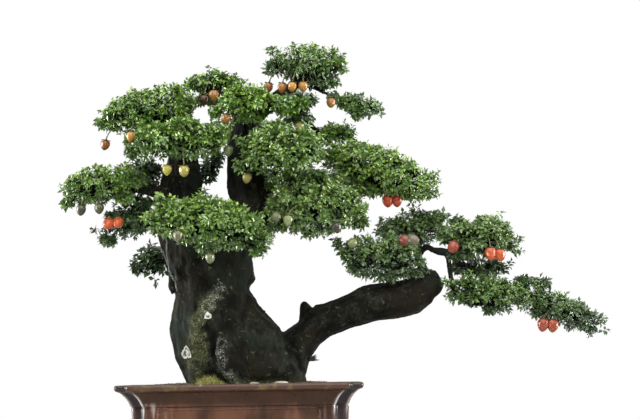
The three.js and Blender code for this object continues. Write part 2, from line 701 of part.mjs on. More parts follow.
// A fruit: the place of its berry, the cushion or the point on a twig that it hangs from, and its ripeness.
// A twin is a second berry that touches it, as an offset from the first.
const FRUITS = [
  { name: "fruit_01", at: [-298, -10, 725], from: "high_left", ripe: "orange_fruit" },
  { name: "fruit_02", at: [-233, -74, 732], from: "high_left", ripe: "orange_fruit" },
  { name: "fruit_03", at: [-150, -120, 652], from: "mid_left", ripe: "yellow_fruit" },
  { name: "fruit_04", at: [-111, -150, 645], from: "mid_left", ripe: "yellow_fruit" },
  { name: "fruit_05", at: [-342, -70, 574], from: "low_left", ripe: "green_fruit" },
  { name: "fruit_06", at: [-302, -74, 576], from: "low_left", ripe: "green_fruit" },
  { name: "fruit_07", at: [-289, -30, 547], from: "under_left", ripe: "red_fruit", twin: [21, 0, 2] },
  { name: "fruit_08", at: [-118, -226, 500], from: "front_low", ripe: "yellow_fruit" },
  { name: "fruit_09", at: [-56, -170, 458], from: "front_low", ripe: "green_fruit" },
  { name: "fruit_10", at: [-79, 8, 826], from: "high_back", ripe: "orange_fruit" },
  { name: "fruit_11", at: [-56, -8, 832], from: "high_back", ripe: "orange_fruit" },
  { name: "fruit_12", at: [-24, -100, 764], from: "high_front", ripe: "orange_fruit" },
  { name: "fruit_13", at: [-20, -100, 694], from: "high_front", ripe: "green_fruit" },
  { name: "fruit_14", at: [19, -84, 637], from: "centre", ripe: "yellow_fruit" },
  { name: "fruit_15", at: [82, -140, 545], from: "centre_low", ripe: "green_fruit" },
  { name: "fruit_16", at: [108, -168, 534], from: "centre_low", ripe: "green_fruit" },
  { name: "fruit_17", at: [65, -20, 846], from: "crown", ripe: "orange_fruit" },
  { name: "fruit_18", at: [96, -34, 842], from: "crown", ripe: "orange_fruit" },
  { name: "fruit_19", at: [119, -44, 842], from: "crown", ripe: "orange_fruit" },
  { name: "fruit_20", at: [143, -40, 843], from: "crown", ripe: "orange_fruit" },
  { name: "fruit_21", at: [204, -24, 809], from: "trunk", twig: [208, 1, 829], ripe: "orange_fruit" },
  { name: "fruit_22", at: [133, -56, 753], from: "crown_under", ripe: "yellow_fruit" },
  { name: "fruit_23", at: [211, -150, 519], from: "centre_low", ripe: "green_fruit" },
  { name: "fruit_24", at: [325, -30, 588], from: "long_right", ripe: "red_fruit", twin: [20, 2, 0] },
  { name: "fruit_25", at: [243, -116, 489], from: "arm_inner", ripe: "green_fruit" },
  { name: "fruit_26", at: [357, -104, 495], from: "arm_inner", ripe: "red_fruit", twin: [18, -7, -1] },
  { name: "fruit_27", at: [463, -56, 482], from: "arm_right", ripe: "red_fruit" },
  { name: "fruit_28", at: [542, -84, 464], from: "arm_right", ripe: "red_fruit", twin: [20, 2, -3] },
  { name: "fruit_29", at: [656, -38, 311], from: "tail_far", ripe: "red_fruit", twin: [21, 0, -2] },
];

// The berry from its pointed foot to its shoulder: height as a part of the berry's, and radius.
const BERRY_PROFILE = [
  [-0.5, 0.12],
  [-0.3, 0.8],
  [0.14, 0.98],
];

// What a stalk reaches for: a point on a twig, or one inside a core, no lower than the berry.
function stalkGoal({ from, twig }, centre) {
  if (twig) return new THREE.Vector3(...twig);
  const { at, half } = CUSHIONS[from];
  const goal = new THREE.Vector3(...at).lerp(centre, STALK_LEAN);
  const highest = at[2] + STALK_HIGHEST * (half[2] - CORE_INSET[2]);
  goal.z = Math.min(Math.max(at[2], centre.z + STALK_RISE), highest);
  return goal;
}

// The end of a stalk that leaves the berry's top for its goal, and stops a little way inside the core.
function stalkEnd(fruit, top, goal) {
  if (fruit.twig) return goal;
  const cushion = CUSHIONS[fruit.from];
  const middle = new THREE.Vector3(...cushion.at);
  const turnBack = slopeOf(cushion).invert();
  const way = goal.clone().sub(top).normalize();
  const depthAt = (point) => {
    const local = point.clone().sub(middle).applyMatrix4(turnBack);
    return Math.hypot(...local.toArray().map((size, i) => size / (cushion.half[i] - CORE_INSET[i])));
  };
  const point = top.clone();
  while (depthAt(point) > STALK_DEPTH) point.addScaledVector(way, 1);
  return point.addScaledVector(way, STALK_SUNK);
}

// A berry's measures: its size, its axis, and the way its stalk goes. east is square to both.
function berryLine(fruit, at, seed) {
  const random = seeded(seed);
  const centre = new THREE.Vector3(...at);
  const variety = 1 + FRUIT_VARIETY * (random() - 0.5);
  const size = (fruit.ripe === "red_fruit" ? RED_FRUIT_SIZE : 1) * variety;
  const goal = stalkGoal(fruit, centre);
  const toGoal = goal.clone().sub(centre).normalize();
  const tilt = toGoal.z > 0.5 ? UPRIGHT_TILT : SIDEWAYS_TILT;
  const axis = UP.clone().lerp(toGoal, tilt).normalize();
  const up = (part) => centre.clone().addScaledVector(axis, part * FRUIT_HEIGHT * size);
  const end = stalkEnd(fruit, up(0.5), goal);
  const way = end.clone().sub(up(0.5)).normalize();
  const east = new THREE.Vector3().crossVectors(axis, way);
  if (east.length() < 0.01) east.set(1, 0, 0);
  return { size, axis, up, end, way, east: east.normalize() };
}

// A ring of corners square to a heading. radius is a number, or a function of the corner's number.
function ring(middle, heading, east, sides, radius) {
  const north = new THREE.Vector3().crossVectors(heading, east);
  return Array.from({ length: sides }, (unused, k) => {
    const angle = (2 * Math.PI * k) / sides;
    const reach = typeof radius === "function" ? radius(k) : radius;
    return middle
      .clone()
      .addScaledVector(east, Math.cos(angle) * reach)
      .addScaledVector(north, Math.sin(angle) * reach);
  });
}

// A berry with its four-lobed calyx and its stalk, as one skin of eight-cornered rings along its axis.
function berry(fruit, at, seed, grow) {
  const { size, axis, up, end, way, east } = berryLine(fruit, at, seed);
  const sections = BERRY_PROFILE.map(([part, radius]) => {
    const middle = up(part).addScaledVector(axis, part < 0 ? -grow : 0);
    return ring(middle, axis, east, 8, radius * FRUIT_RADIUS * size + grow);
  });
  const lobe = (k) => (k % 2 ? CALYX_CLEFT : 1) * CALYX_RADIUS + grow;
  const stalkRoot = up(STALK_LEVEL).addScaledVector(axis, grow);
  sections.push(ring(up(CALYX_LEVEL), axis, east, 8, lobe));
  sections.push(ring(stalkRoot, axis, east, 8, STALK_RADIUS * STALK_FLARE + grow));
  sections.push(ring(end.clone().addScaledVector(way, grow), way, east, 8, STALK_RADIUS + grow));
  return loft(sections);
}

// The plain four-sided hole that a stalk stands in.
function stalkHole(fruit, at, seed) {
  const { up, end, way, east } = berryLine(fruit, at, seed);
  const bottom = end.clone().addScaledVector(way, BED_GAP);
  const reach = (radius) => (radius + BED_GAP) * Math.SQRT2;
  return loft([
    ring(up(STALK_LEVEL), way, east, 4, reach(STALK_RADIUS * STALK_FLARE)),
    ring(bottom, way, east, 4, reach(STALK_RADIUS)),
  ]);
}

// The places and seeds of a fruit's berries: one, or two for a fruit with a twin.
function berriesOf(fruit, seed) {
  const first = { at: fruit.at, seed };
  if (!fruit.twin) return [first];
  return [first, { at: fruit.at.map((size, i) => size + fruit.twin[i]), seed: seed + TWIN_SEED }];
}

function fruitSolid(fruit, index, grow) {
  const solids = berriesOf(fruit, FRUIT_SEED + index).map(({ at, seed }) => berry(fruit, at, seed, grow));
  return wasm.Manifold.union(solids);
}

const fruits = FRUITS.map((fruit, index) => ({
  ...fruit,
  solid: fruitSolid(fruit, index, 0),
  close: bounded(fruitSolid(fruit, index, FIT_GAP)),
  wide: bounded(fruitSolid(fruit, index, BED_GAP)),
  stalkHoles: berriesOf(fruit, FRUIT_SEED + index).map(({ at, seed }) => stalkHole(fruit, at, seed)),
}));

// Plain holes for the stalks, and room for each berry that lies against the solid.
function cutForFruits(solid, name) {
  const holes = fruits.filter((fruit) => fruit.from === name).flatMap((fruit) => fruit.stalkHoles);
  const holed = wasm.Manifold.union([solid]).subtract(wasm.Manifold.union(holes));
  const pressed = fruits.filter(({ close }) => touches(close, [bounded(holed)]));
  return pressed.reduce((rest, { wide }) => rest.subtract(wide.solid), holed);
}

const wood = mainBody(cutForFruits(wholeWood, "trunk"));

// Cores first, so that every blade can be kept clear of all of them.
const cushions = Object.entries(CUSHIONS).map(([name, cushion], index) => {
  const meanSize = Math.cbrt(cushion.half[0] * cushion.half[1] * cushion.half[2]);
  return {
    name,
    cushion,
    faces: coreFaces(cushion, CORE_SEED + index),
    leafLength: THREE.MathUtils.clamp(LEAF_PART * meanSize, LEAF_SHORTEST, LEAF_LONGEST),
    grownCore: bounded(coreWithBlades(coreFaces(cushion, CORE_SEED + index, LEAF_CLEAR))),
    blades: new Map(),
    grownBlades: [],
  };
});

// A direction along the cushion's skin: outward on its top, upward on its sides, and swayed.
function leanOf(outward, random) {
  const lean = new THREE.Vector3(outward.x, outward.y, 0).multiplyScalar(LEAN_OUT * Math.abs(outward.z));
  lean.add(new THREE.Vector3(random() - 0.5, random() - 0.5, random() - 0.4).multiplyScalar(LEAN_SWAY));
  return lean.addScaledVector(outward, -lean.dot(outward)).normalize();
}

// As many blades as the surface of the cushion's ellipsoid holds, one to each square of the spacing.
function bladeCount({ half: [a, b, c] }) {
  const power = 1.6;
  const mean = ((a * b) ** power + (a * c) ** power + (b * c) ** power) / 3;
  const surface = 4 * Math.PI * mean ** (1 / power);
  return Math.max(FEWEST_LEAVES, Math.round(surface / LEAF_SPACING ** 2));
}

// Blades one by one, clear of the wood, the fruits, the other cushions and the blades before it.
const woodBlock = bounded(woodHole);
cushions.forEach((own, index) => {
  const random = seeded(LEAF_SEED + index);
  const others = cushions.filter((other) => other !== own);
  const blocks = [woodBlock, ...fruits.map((fruit) => fruit.wide), ...others.map((other) => other.grownCore)];
  const outwards = own.faces.map(({ corners }) => normalOf(corners));
  for (const direction of evenDirections(bladeCount(own.cushion), 2 * Math.PI * random())) {
    const free = outwards.map((outward, i) => (own.blades.has(i) ? -2 : outward.dot(direction)));
    const face = free.indexOf(Math.max(...free));
    for (let attempt = 0; attempt < LEAF_TRIES; attempt++) {
      const lean = leanOf(outwards[face], random);
      const length = own.leafLength * (1 + LEAF_VARIETY * (random() - 0.5));
      const grown = bladeRings(own.faces[face].corners, lean, length, LEAF_CLEAR);
      const blade = bounded(bladeAlone(grown));
      const placed = cushions.flatMap((other) => other.grownBlades);
      if (touches(blade, blocks) || touches(blade, placed)) continue;
      const outerPart = bounded(bladeAlone(grown, STEM_PART));
      if (touches(outerPart, [bounded(coreWithBlades(own.faces, own.blades))])) continue;
      own.blades.set(face, bladeRings(own.faces[face].corners, lean, length));
      own.grownBlades.push(blade);
      break;
    }
  }
});

// A cushion with its blades, cut clear of the wood, the fruits and the cores of the cushions before it.
function cushionSolid(own, before) {
  let solid = cutForFruits(coreWithBlades(own.faces, own.blades).subtract(woodHole), own.name);
  for (const other of before) {
    if (!boxesTouch(solid.boundingBox(), other.grownCore.bounds)) continue;
    solid = solid.subtract(other.grownCore.solid);
  }
  return mainBody(solid);
}

const tree = new THREE.Group();
bonsai.add(tree);
addPiece(bonsai, "pot", makePot(), MATERIALS.glaze);
addPiece(bonsai, "soil", soil, MATERIALS.soil);
for (const { name, solid } of stones) addPiece(bonsai, name, solid, MATERIALS.stone);
addPiece(tree, "trunk", wood, MATERIALS.bark);
cushions.forEach((own, index) => {
  const material = own.cushion.shaded ? MATERIALS.shaded_leaf : MATERIALS.leaf;
  addPiece(tree, "leaves_" + own.name, cushionSolid(own, cushions.slice(0, index)), material);
});
for (const { name, solid, ripe } of fruits) addPiece(tree, name, solid, MATERIALS[ripe]);

export default bonsai;
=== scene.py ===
"""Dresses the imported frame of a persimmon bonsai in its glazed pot.

Lengths are in millimetres in the code and in metres in the meshes. Every shape is worked out
with numpy as whole arrays, and a few small classes turn the arrays into pieces with finishes.
"""

import logging
from dataclasses import dataclass, field
from enum import Enum

import bmesh
import bpy
import numpy as np
from mathutils import Matrix, Vector
from numpy.typing import NDArray


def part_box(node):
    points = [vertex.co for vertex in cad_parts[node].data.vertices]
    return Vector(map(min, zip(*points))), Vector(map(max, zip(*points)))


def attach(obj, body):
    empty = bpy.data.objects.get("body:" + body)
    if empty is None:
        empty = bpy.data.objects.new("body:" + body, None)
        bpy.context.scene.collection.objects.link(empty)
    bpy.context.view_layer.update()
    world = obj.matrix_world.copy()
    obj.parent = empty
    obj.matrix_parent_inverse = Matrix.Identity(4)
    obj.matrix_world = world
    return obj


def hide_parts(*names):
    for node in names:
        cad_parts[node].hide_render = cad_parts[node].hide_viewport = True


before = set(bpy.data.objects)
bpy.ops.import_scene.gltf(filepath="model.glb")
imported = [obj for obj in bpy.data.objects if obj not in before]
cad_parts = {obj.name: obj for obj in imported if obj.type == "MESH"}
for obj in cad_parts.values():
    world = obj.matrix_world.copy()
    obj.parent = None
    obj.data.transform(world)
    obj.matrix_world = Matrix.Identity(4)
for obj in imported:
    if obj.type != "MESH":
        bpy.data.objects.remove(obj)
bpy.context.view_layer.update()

Array = NDArray[np.float64]
Colour = tuple[float, float, float, float]
Place = tuple[float, float, float]
Patch = tuple[float, float, float, float, float, float]
Socket = bpy.types.NodeSocket

MM = 0.001
UP = np.array([0.0, 0.0, 1.0])
ASKEW = np.array([0.31, 0.52, 0.79])
GOLDEN_TURN = np.radians(137.5)
WHOLE_TURN = 6.28
LOG = logging.getLogger("bonsai")


class Slot(Enum):
    """The record's finishes that new pieces take."""

    GLAZE = "glaze"
    SOIL = "soil"
    BARK = "bark"
    STONE = "stone"
    LEAF = "leaf"
    SHADED_LEAF = "shaded_leaf"
    RED = "red_fruit"
    ORANGE = "orange_fruit"
    YELLOW = "yellow_fruit"
    GREEN = "green_fruit"


# Numbers and directions


def paint(red: float, green: float, blue: float) -> Colour:
    """Turn screen values from 0 to 255 into the linear colour that a shader takes."""
    screen = np.array([red, green, blue]) / 255
    linear = np.where(screen <= 0.04045, screen / 12.92, ((screen + 0.055) / 1.055) ** 2.4)
    return (*linear.tolist(), 1.0)


def unit(vectors: Array) -> Array:
    """Give each vector a length of one."""
    length = np.linalg.norm(vectors, axis=-1, keepdims=True)
    return vectors / np.maximum(length, 1e-9)


def dot(first: Array, second: Array) -> Array:
    """Give the dot product of each pair, kept as a column."""
    return np.sum(first * second, axis=-1, keepdims=True)


def eased(values: Array, low: float, high: float) -> Array:
    """Rise smoothly from 0 at low to 1 at high, by 3t^2 - 2t^3."""
    part = np.clip((values - low) / (high - low), 0, 1)
    return part * part * (3 - 2 * part)


def angles(count: int) -> Array:
    """Divide a whole turn into equal steps."""
    return 2 * np.pi * np.arange(count) / count


def bent(start: Array, corner: Array, end: Array, part: Array) -> Array:
    """Run a curve from A to B that bends towards C: (1-s)^2 A + 2s(1-s) C + s^2 B for each part s."""
    return (1 - part) ** 2 * start + 2 * part * (1 - part) * corner + part**2 * end


@dataclass(frozen=True)
class Noise:
    """A smooth random field in space that is the same on every run."""

    seed: int

    def corner(self, cell: Array) -> Array:
        """Give each corner of the lattice its own number from -1 to 1 by mixing its whole-number place.

        Args:
            cell: Whole-number places, one row each.

        Returns:
            One number a row.
        """
        x, y, z = cell.astype(np.int64).T
        mixed = (x * 73856093) ^ (y * 19349663) ^ (z * 83492791) ^ (self.seed * 7919)
        mixed = (mixed ^ (mixed >> 13)) * 1274126177
        mixed = mixed ^ (mixed >> 16)
        return (mixed & 0xFFFF) / 32767.5 - 1

    def at(self, places: Array, size: float) -> Array:
        """Blend the numbers of the eight corners round each place with 3t^2 - 2t^3 along each side.

        Args:
            places: Points in mm.
            size: Length of a lattice cell in mm.

        Returns:
            A value from -1 to 1 at each place.
        """
        scaled = places / size + 0.37
        cell = np.floor(scaled)
        blend = eased(scaled - cell, 0, 1)
        total = np.zeros(len(places))
        for step in np.ndindex(2, 2, 2):
            weight = np.prod(np.where(step, blend, 1 - blend), axis=1)
            total += weight * self.corner(cell + step)
        return total

    def layered(self, places: Array, size: float, layers: int = 3) -> Array:
        """Add layers of the field, each half as large and half as strong as the one before."""
        parts = [self.at(places + 31 * k, size / 2**k) / 2**k for k in range(layers)]
        return np.sum(parts, axis=0)


# Surfaces


@dataclass
class Surface:
    """A mesh as arrays: points in mm, the point numbers round each face, and each face's count of them.

    marks holds a number for every point, and parts a finish number for every face.
    """

    points: Array
    rounds: Array
    counts: Array
    marks: dict[str, Array] = field(default_factory=dict)
    parts: Array | None = None

    @classmethod
    def of(cls, points: Array, faces: Array, **marks: Array) -> "Surface":
        """Make a surface whose faces all have the same count of points."""
        return cls(points, faces.ravel(), np.full(len(faces), faces.shape[1]), marks)

    @classmethod
    def joined(cls, pieces: list["Surface"]) -> "Surface":
        """Put surfaces into one, with the finish number of each piece its place in the list.

        Args:
            pieces: Surfaces that carry the same marks. One with finish numbers of its own keeps them.

        Returns:
            The surfaces as one.
        """
        starts = np.cumsum([0] + [len(piece.points) for piece in pieces[:-1]])
        rounds = np.concatenate([piece.rounds + start for piece, start in zip(pieces, starts)])
        names = pieces[0].marks
        marks = {name: np.concatenate([piece.marks[name] for piece in pieces]) for name in names}
        own = [
            np.full(len(piece.counts), k) if piece.parts is None else piece.parts
            for k, piece in enumerate(pieces)
        ]
        points = np.concatenate([piece.points for piece in pieces])
        counts = np.concatenate([piece.counts for piece in pieces])
        return cls(points, rounds, counts, marks, np.concatenate(own))

    def edges(self) -> Array:
        """Give every edge once, as pairs of point numbers in rising order."""
        ends = np.cumsum(self.counts)
        after = np.arange(len(self.rounds)) + 1
        after[ends - 1] = ends - self.counts
        pairs = np.sort(np.stack([self.rounds, self.rounds[after]], axis=1), axis=1)
        return np.unique(pairs, axis=0)

    def normals(self) -> Array:
        """Give each point the mean direction of its faces, each face weighted by its area."""
        ends = np.cumsum(self.counts)
        starts = ends - self.counts
        first, second = self.points[self.rounds[starts]], self.points[self.rounds[starts + 1]]
        third, last = self.points[self.rounds[starts + 2]], self.points[self.rounds[ends - 1]]
        facing = np.cross(third - first, last - second)
        facing = np.where(self.counts[:, None] == 3, np.cross(second - first, third - first), facing)
        each = np.repeat(facing, self.counts, axis=0)
        sums = [np.bincount(self.rounds, each[:, axis], len(self.points)) for axis in range(3)]
        return unit(np.stack(sums, axis=1))

    def triangles(self) -> int:
        """Count the triangles that the faces come to."""
        return int(np.sum(self.counts - 2))


def skinned(rings: Array, closed: bool = True, **marks: Array) -> Surface:
    """Skin shapes that are each given as rings, and close both ends with a fan about the ring's middle.

    The rings run along the shape and the points of a ring run anticlockwise about that direction,
    so that the faces point outwards.

    Args:
        rings: Points in mm: shape by ring by point by axis.
        closed: False for a loop, whose last ring joins its first.
        marks: Numbers for the points: shape by ring by point.

    Returns:
        All the shapes as one surface.
    """
    many, tall, wide, _ = rings.shape
    stride = tall * wide + (2 if closed else 0)
    starts = (np.arange(many) * stride)[:, None, None]
    row = np.arange(tall - 1 if closed else tall)[:, None]
    column = np.arange(wide)[None, :]
    after = (column + 1) % wide
    above = (row + 1) % tall
    corners = [row * wide + column, row * wide + after, above * wide + after, above * wide + column]
    quads = (np.stack(corners, axis=-1).reshape(1, -1, 4) + starts).reshape(-1, 4)
    flat = rings.reshape(many, tall * wide, 3)
    spread = {name: values.reshape(many, tall * wide) for name, values in marks.items()}
    if not closed:
        plain = {name: values.ravel() for name, values in spread.items()}
        return Surface.of(flat.reshape(-1, 3), quads, **plain)
    poles = np.stack([rings[:, 0].mean(axis=1), rings[:, -1].mean(axis=1)], axis=1)
    points = np.concatenate([flat, poles], axis=1).reshape(-1, 3)
    for name, values in marks.items():
        ends = np.stack([values[:, 0].mean(axis=1), values[:, -1].mean(axis=1)], axis=1)
        spread[name] = np.concatenate([spread[name], ends], axis=1)
    side, following = column[0], after[0]
    top = (tall - 1) * wide
    first = np.stack([np.full(wide, tall * wide), following, side], axis=-1)
    last = np.stack([np.full(wide, tall * wide + 1), top + side, top + following], axis=-1)
    fans = (np.concatenate([first, last])[None] + starts).reshape(-1, 3)
    rounds = np.concatenate([quads.ravel(), fans.ravel()])
    counts = np.concatenate([np.full(len(quads), 4), np.full(len(fans), 3)])
    return Surface(points, rounds, counts, {name: values.ravel() for name, values in spread.items()})


def tubes(paths: Array, radii: Array, sides: int, closed: bool = True, **marks: Array) -> Surface:
    """Carry a circle along each path, square to the path's direction.

    A ring's point is the path's point + r (cos a u + sin a v), where u and v are square to the path.
    u is square to a helper too: the axis that an open path leans least along, or the way a loop faces.

    Args:
        paths: Points in mm: tube by station by axis.
        radii: Radius at each station: tube by station.
        sides: Points in a ring.
        closed: False for a path that comes back to its start.
        marks: Numbers for each station.

    Returns:
        All the tubes as one surface.
    """
    if closed:
        heading = unit(np.gradient(paths, axis=1))
        chord = heading.mean(axis=1, keepdims=True)
        helper = np.eye(3)[np.argmin(np.abs(chord), axis=-1)]
    else:
        after = np.roll(paths, -1, axis=1)
        heading = unit(after - np.roll(paths, 1, axis=1))
        helper = unit(np.sum(np.cross(paths, after), axis=1, keepdims=True))
    across = unit(np.cross(helper, heading))
    out = np.cross(heading, across)
    turn = angles(sides)
    reach = radii[..., None, None]
    way = np.cos(turn)[:, None] * across[..., None, :] + np.sin(turn)[:, None] * out[..., None, :]
    rings = paths[..., None, :] + reach * way
    spread = {name: np.repeat(values[..., None], sides, axis=-1) for name, values in marks.items()}
    return skinned(rings, closed, **spread)


def spikes(feet: Array, tips: Array, radius: float) -> Surface:
    """Stand thin three-sided spikes, each of four triangles: three sides that meet at its tip, and a base.

    Args:
        feet: The middle of each base.
        tips: Where each spike ends.
        radius: From the middle of a base to its corners.

    Returns:
        All the spikes as one surface.
    """
    way = unit(tips - feet)
    beside = unit(np.cross(way, ASKEW))
    across = np.cross(way, beside)
    turn = angles(3)[None, :, None]
    ring = feet[:, None] + radius * (np.cos(turn) * beside[:, None] + np.sin(turn) * across[:, None])
    points = np.concatenate([ring, tips[:, None]], axis=1).reshape(-1, 3)
    faces = np.array([[0, 1, 3], [1, 2, 3], [2, 0, 3], [2, 1, 0]])
    return Surface.of(points, (faces[None] + 4 * np.arange(len(feet))[:, None, None]).reshape(-1, 3))


def filleted(corners: Array, reach: Array | float, steps: int, loop: bool) -> Array:
    """Round each corner of a line with the curve that bent() gives.

    C is the corner, and A and B lie on its two sides at the reach, or at 0.45 of a shorter side.

    Args:
        corners: Points: corner by axis, with any leading axes.
        reach: How far from each corner its curve starts.
        steps: Points on a curve.
        loop: True where the line is closed. An open line keeps its two ends.

    Returns:
        Points: corner by step by axis, after the same leading axes.
    """
    before = np.roll(corners, 1, axis=-2) - corners
    after = np.roll(corners, -1, axis=-2) - corners
    shortest = np.minimum(np.linalg.norm(before, axis=-1), np.linalg.norm(after, axis=-1))
    limit = np.minimum(reach, 0.45 * shortest)[..., None]
    if not loop:
        limit[..., [0, -1], :] = 0
    start = (corners + limit * unit(before))[..., None, :]
    end = (corners + limit * unit(after))[..., None, :]
    part = np.linspace(0, 1, steps)[:, None]
    return bent(start, corners[..., None, :], end, part)


# Blender objects


def surface_of(thing: bpy.types.Object) -> Surface:
    """Read an object's finished mesh, with its modifiers, into arrays in mm."""
    mesh = thing.evaluated_get(bpy.context.evaluated_depsgraph_get()).to_mesh()
    points = np.empty(len(mesh.vertices) * 3)
    mesh.vertices.foreach_get("co", points)
    rounds = np.empty(len(mesh.loops), dtype=np.int64)
    mesh.loops.foreach_get("vertex_index", rounds)
    counts = np.empty(len(mesh.polygons), dtype=np.int64)
    mesh.polygons.foreach_get("loop_total", counts)
    return Surface(points.reshape(-1, 3) / MM, rounds, counts)


def node_surface(name: str, voxel: float | None = None) -> Surface:
    """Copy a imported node's mesh, merge its loose triangles, and remesh the copy where a voxel is given.

    Args:
        name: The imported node.
        voxel: Voxel size in mm, or None for the merged triangles as they are.

    Returns:
        The copy as a surface.
    """
    mesh = bpy.data.meshes.new("copy")
    shape = bmesh.new()
    shape.from_mesh(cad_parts[name].data)
    bmesh.ops.remove_doubles(shape, verts=shape.verts, dist=1e-6)
    shape.to_mesh(mesh)
    shape.free()
    thing = bpy.data.objects.new("copy", mesh)
    bpy.context.scene.collection.objects.link(thing)
    if voxel:
        remesh = thing.modifiers.new("remesh", "REMESH")
        remesh.mode = "VOXEL"
        remesh.voxel_size = voxel * MM
    surface = surface_of(thing)
    bpy.data.objects.remove(thing)
    bpy.data.meshes.remove(mesh)
    return surface


def mesh_of(surface: Surface, name: str, smooth: bool) -> bpy.types.Mesh:
    """Fill a Blender mesh from a surface's arrays, with its marks as point attributes."""
    mesh = bpy.data.meshes.new(name)
    mesh.vertices.add(len(surface.points))
    mesh.vertices.foreach_set("co", (surface.points * MM).ravel())
    mesh.loops.add(len(surface.rounds))
    mesh.loops.foreach_set("vertex_index", surface.rounds.astype(np.int32))
    mesh.polygons.add(len(surface.counts))
    starts = np.cumsum(surface.counts) - surface.counts
    mesh.polygons.foreach_set("loop_start", starts.astype(np.int32))
    mesh.update(calc_edges=True)
    mesh.validate()
    mesh.polygons.foreach_set("use_smooth", np.full(len(surface.counts), smooth))
    if surface.parts is not None:
        mesh.polygons.foreach_set("material_index", surface.parts.astype(np.int32))
    for mark, values in surface.marks.items():
        attribute = mesh.attributes.new(mark, "FLOAT", "POINT")
        attribute.data.foreach_set("value", values.astype(np.float32))
    return mesh


def piece(
    surface: Surface,
    name: str,
    slot: Slot,
    finishes: list[bpy.types.Material],
    replaces: tuple[str, ...] = (),
    smooth: bool = True,
) -> bpy.types.Object:
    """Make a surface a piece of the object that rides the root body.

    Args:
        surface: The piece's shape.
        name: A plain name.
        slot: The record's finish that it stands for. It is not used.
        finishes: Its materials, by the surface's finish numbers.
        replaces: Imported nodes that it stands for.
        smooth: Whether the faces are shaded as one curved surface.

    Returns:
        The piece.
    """
    mesh = mesh_of(surface, name, smooth)
    for finish in finishes:
        mesh.materials.append(finish)
    thing = bpy.data.objects.new(name, mesh)
    bpy.context.scene.collection.objects.link(thing)
    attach(thing, "root")
    if replaces:
        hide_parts(*replaces)
    LOG.info("%s: %d triangles", name, surface.triangles())
    return thing


# Finishes


class Graph:
    """The nodes of one material, added and wired by short calls."""

    def __init__(self, name: str) -> None:
        """Start a material with its shader and its output."""
        self.material = bpy.data.materials.new(name)
        self.material.use_nodes = True
        self.tree = self.material.node_tree
        self.tree.nodes.clear()
        self.shader = self.add("ShaderNodeBsdfPrincipled")
        self.tree.links.new(self.shader.outputs[0], self.add("ShaderNodeOutputMaterial").inputs[0])
        self.place = self.add("ShaderNodeTexCoord").outputs["Object"]

    def add(self, kind: str, **settings: object) -> bpy.types.Node:
        """Add a node with its settings."""
        node = self.tree.nodes.new(kind)
        for name, value in settings.items():
            setattr(node, name, value)
        return node

    def feed(self, socket: Socket, value: Socket | float | Colour) -> None:
        """Wire a value into a socket, or set it there when it is a plain number or colour."""
        if isinstance(value, Socket):
            self.tree.links.new(value, socket)
        else:
            socket.default_value = value

    def stretched(self, stretch: tuple[float, float, float]) -> Socket:
        """Give object coordinates with each axis multiplied."""
        node = self.add("ShaderNodeMapping", vector_type="POINT")
        self.feed(node.inputs["Vector"], self.place)
        node.inputs["Scale"].default_value = stretch
        return node.outputs[0]

    def noise(
        self, size: float, detail: float = 3, stretch: tuple[float, float, float] = (1, 1, 1), warp: float = 0
    ) -> Socket:
        """Give noise whose largest features are about size mm across, on object coordinates."""
        node = self.add("ShaderNodeTexNoise")
        self.feed(node.inputs["Vector"], self.place if stretch == (1, 1, 1) else self.stretched(stretch))
        node.inputs["Scale"].default_value = 1 / (size * MM)
        node.inputs["Detail"].default_value = detail
        node.inputs["Distortion"].default_value = warp
        return node.outputs[0]

    def cells(self, size: float) -> Socket:
        """Give the distance from the middle of random cells about size mm across."""
        node = self.add("ShaderNodeTexVoronoi", feature="F1")
        self.feed(node.inputs["Vector"], self.place)
        node.inputs["Scale"].default_value = 1 / (size * MM)
        return node.outputs["Distance"]

    def height(self) -> Socket:
        """Give the height above the ground in metres."""
        node = self.add("ShaderNodeSeparateXYZ")
        self.feed(node.inputs[0], self.place)
        return node.outputs["Z"]

    def mark(self, name: str) -> Socket:
        """Read a number that the piece's points carry."""
        return self.add("ShaderNodeAttribute", attribute_name=name).outputs["Fac"]

    def between(
        self, value: Socket, low: float, high: float, to_low: float = 0, to_high: float = 1
    ) -> Socket:
        """Map a value smoothly from low..high to a new range, and hold it outside."""
        node = self.add("ShaderNodeMapRange", interpolation_type="SMOOTHSTEP")
        self.feed(node.inputs["Value"], value)
        for name, limit in (("From Min", low), ("From Max", high), ("To Min", to_low), ("To Max", to_high)):
            node.inputs[name].default_value = limit
        return node.outputs[0]

    def sum(self, operation: str, first: Socket | float, second: Socket | float) -> Socket:
        """Combine two numbers by one of the math node's operations, held between 0 and 1."""
        node = self.add("ShaderNodeMath", operation=operation, use_clamp=True)
        self.feed(node.inputs[0], first)
        self.feed(node.inputs[1], second)
        return node.outputs[0]

    def blend(self, part: Socket | float, first: Socket | Colour, second: Socket | Colour) -> Socket:
        """Mix two colours, with part as the share of the second."""
        node = self.add("ShaderNodeMix", data_type="RGBA", blend_type="MIX")
        self.feed(node.inputs[0], part)
        self.feed(node.inputs[6], first)
        self.feed(node.inputs[7], second)
        return node.outputs[2]

    def bump(self, height: Socket, depth: float, strength: float = 1, under: Socket | None = None) -> Socket:
        """Raise the surface's shading by a height pattern, depth mm from 0 to 1."""
        node = self.add("ShaderNodeBump")
        node.inputs["Strength"].default_value = strength
        node.inputs["Distance"].default_value = depth * MM
        self.feed(node.inputs["Height"], height)
        if under:
            self.feed(node.inputs["Normal"], under)
        return node.outputs[0]

    def dress(self, **values: Socket | float | Colour) -> bpy.types.Material:
        """Set the shader's sockets, named with _ for each space, and give the material.

        Args:
            values: A socket's name and what it takes.

        Returns:
            The finished material.
        """
        for name, value in values.items():
            self.feed(self.shader.inputs[name.replace("_", " ")], value)
        return self.material


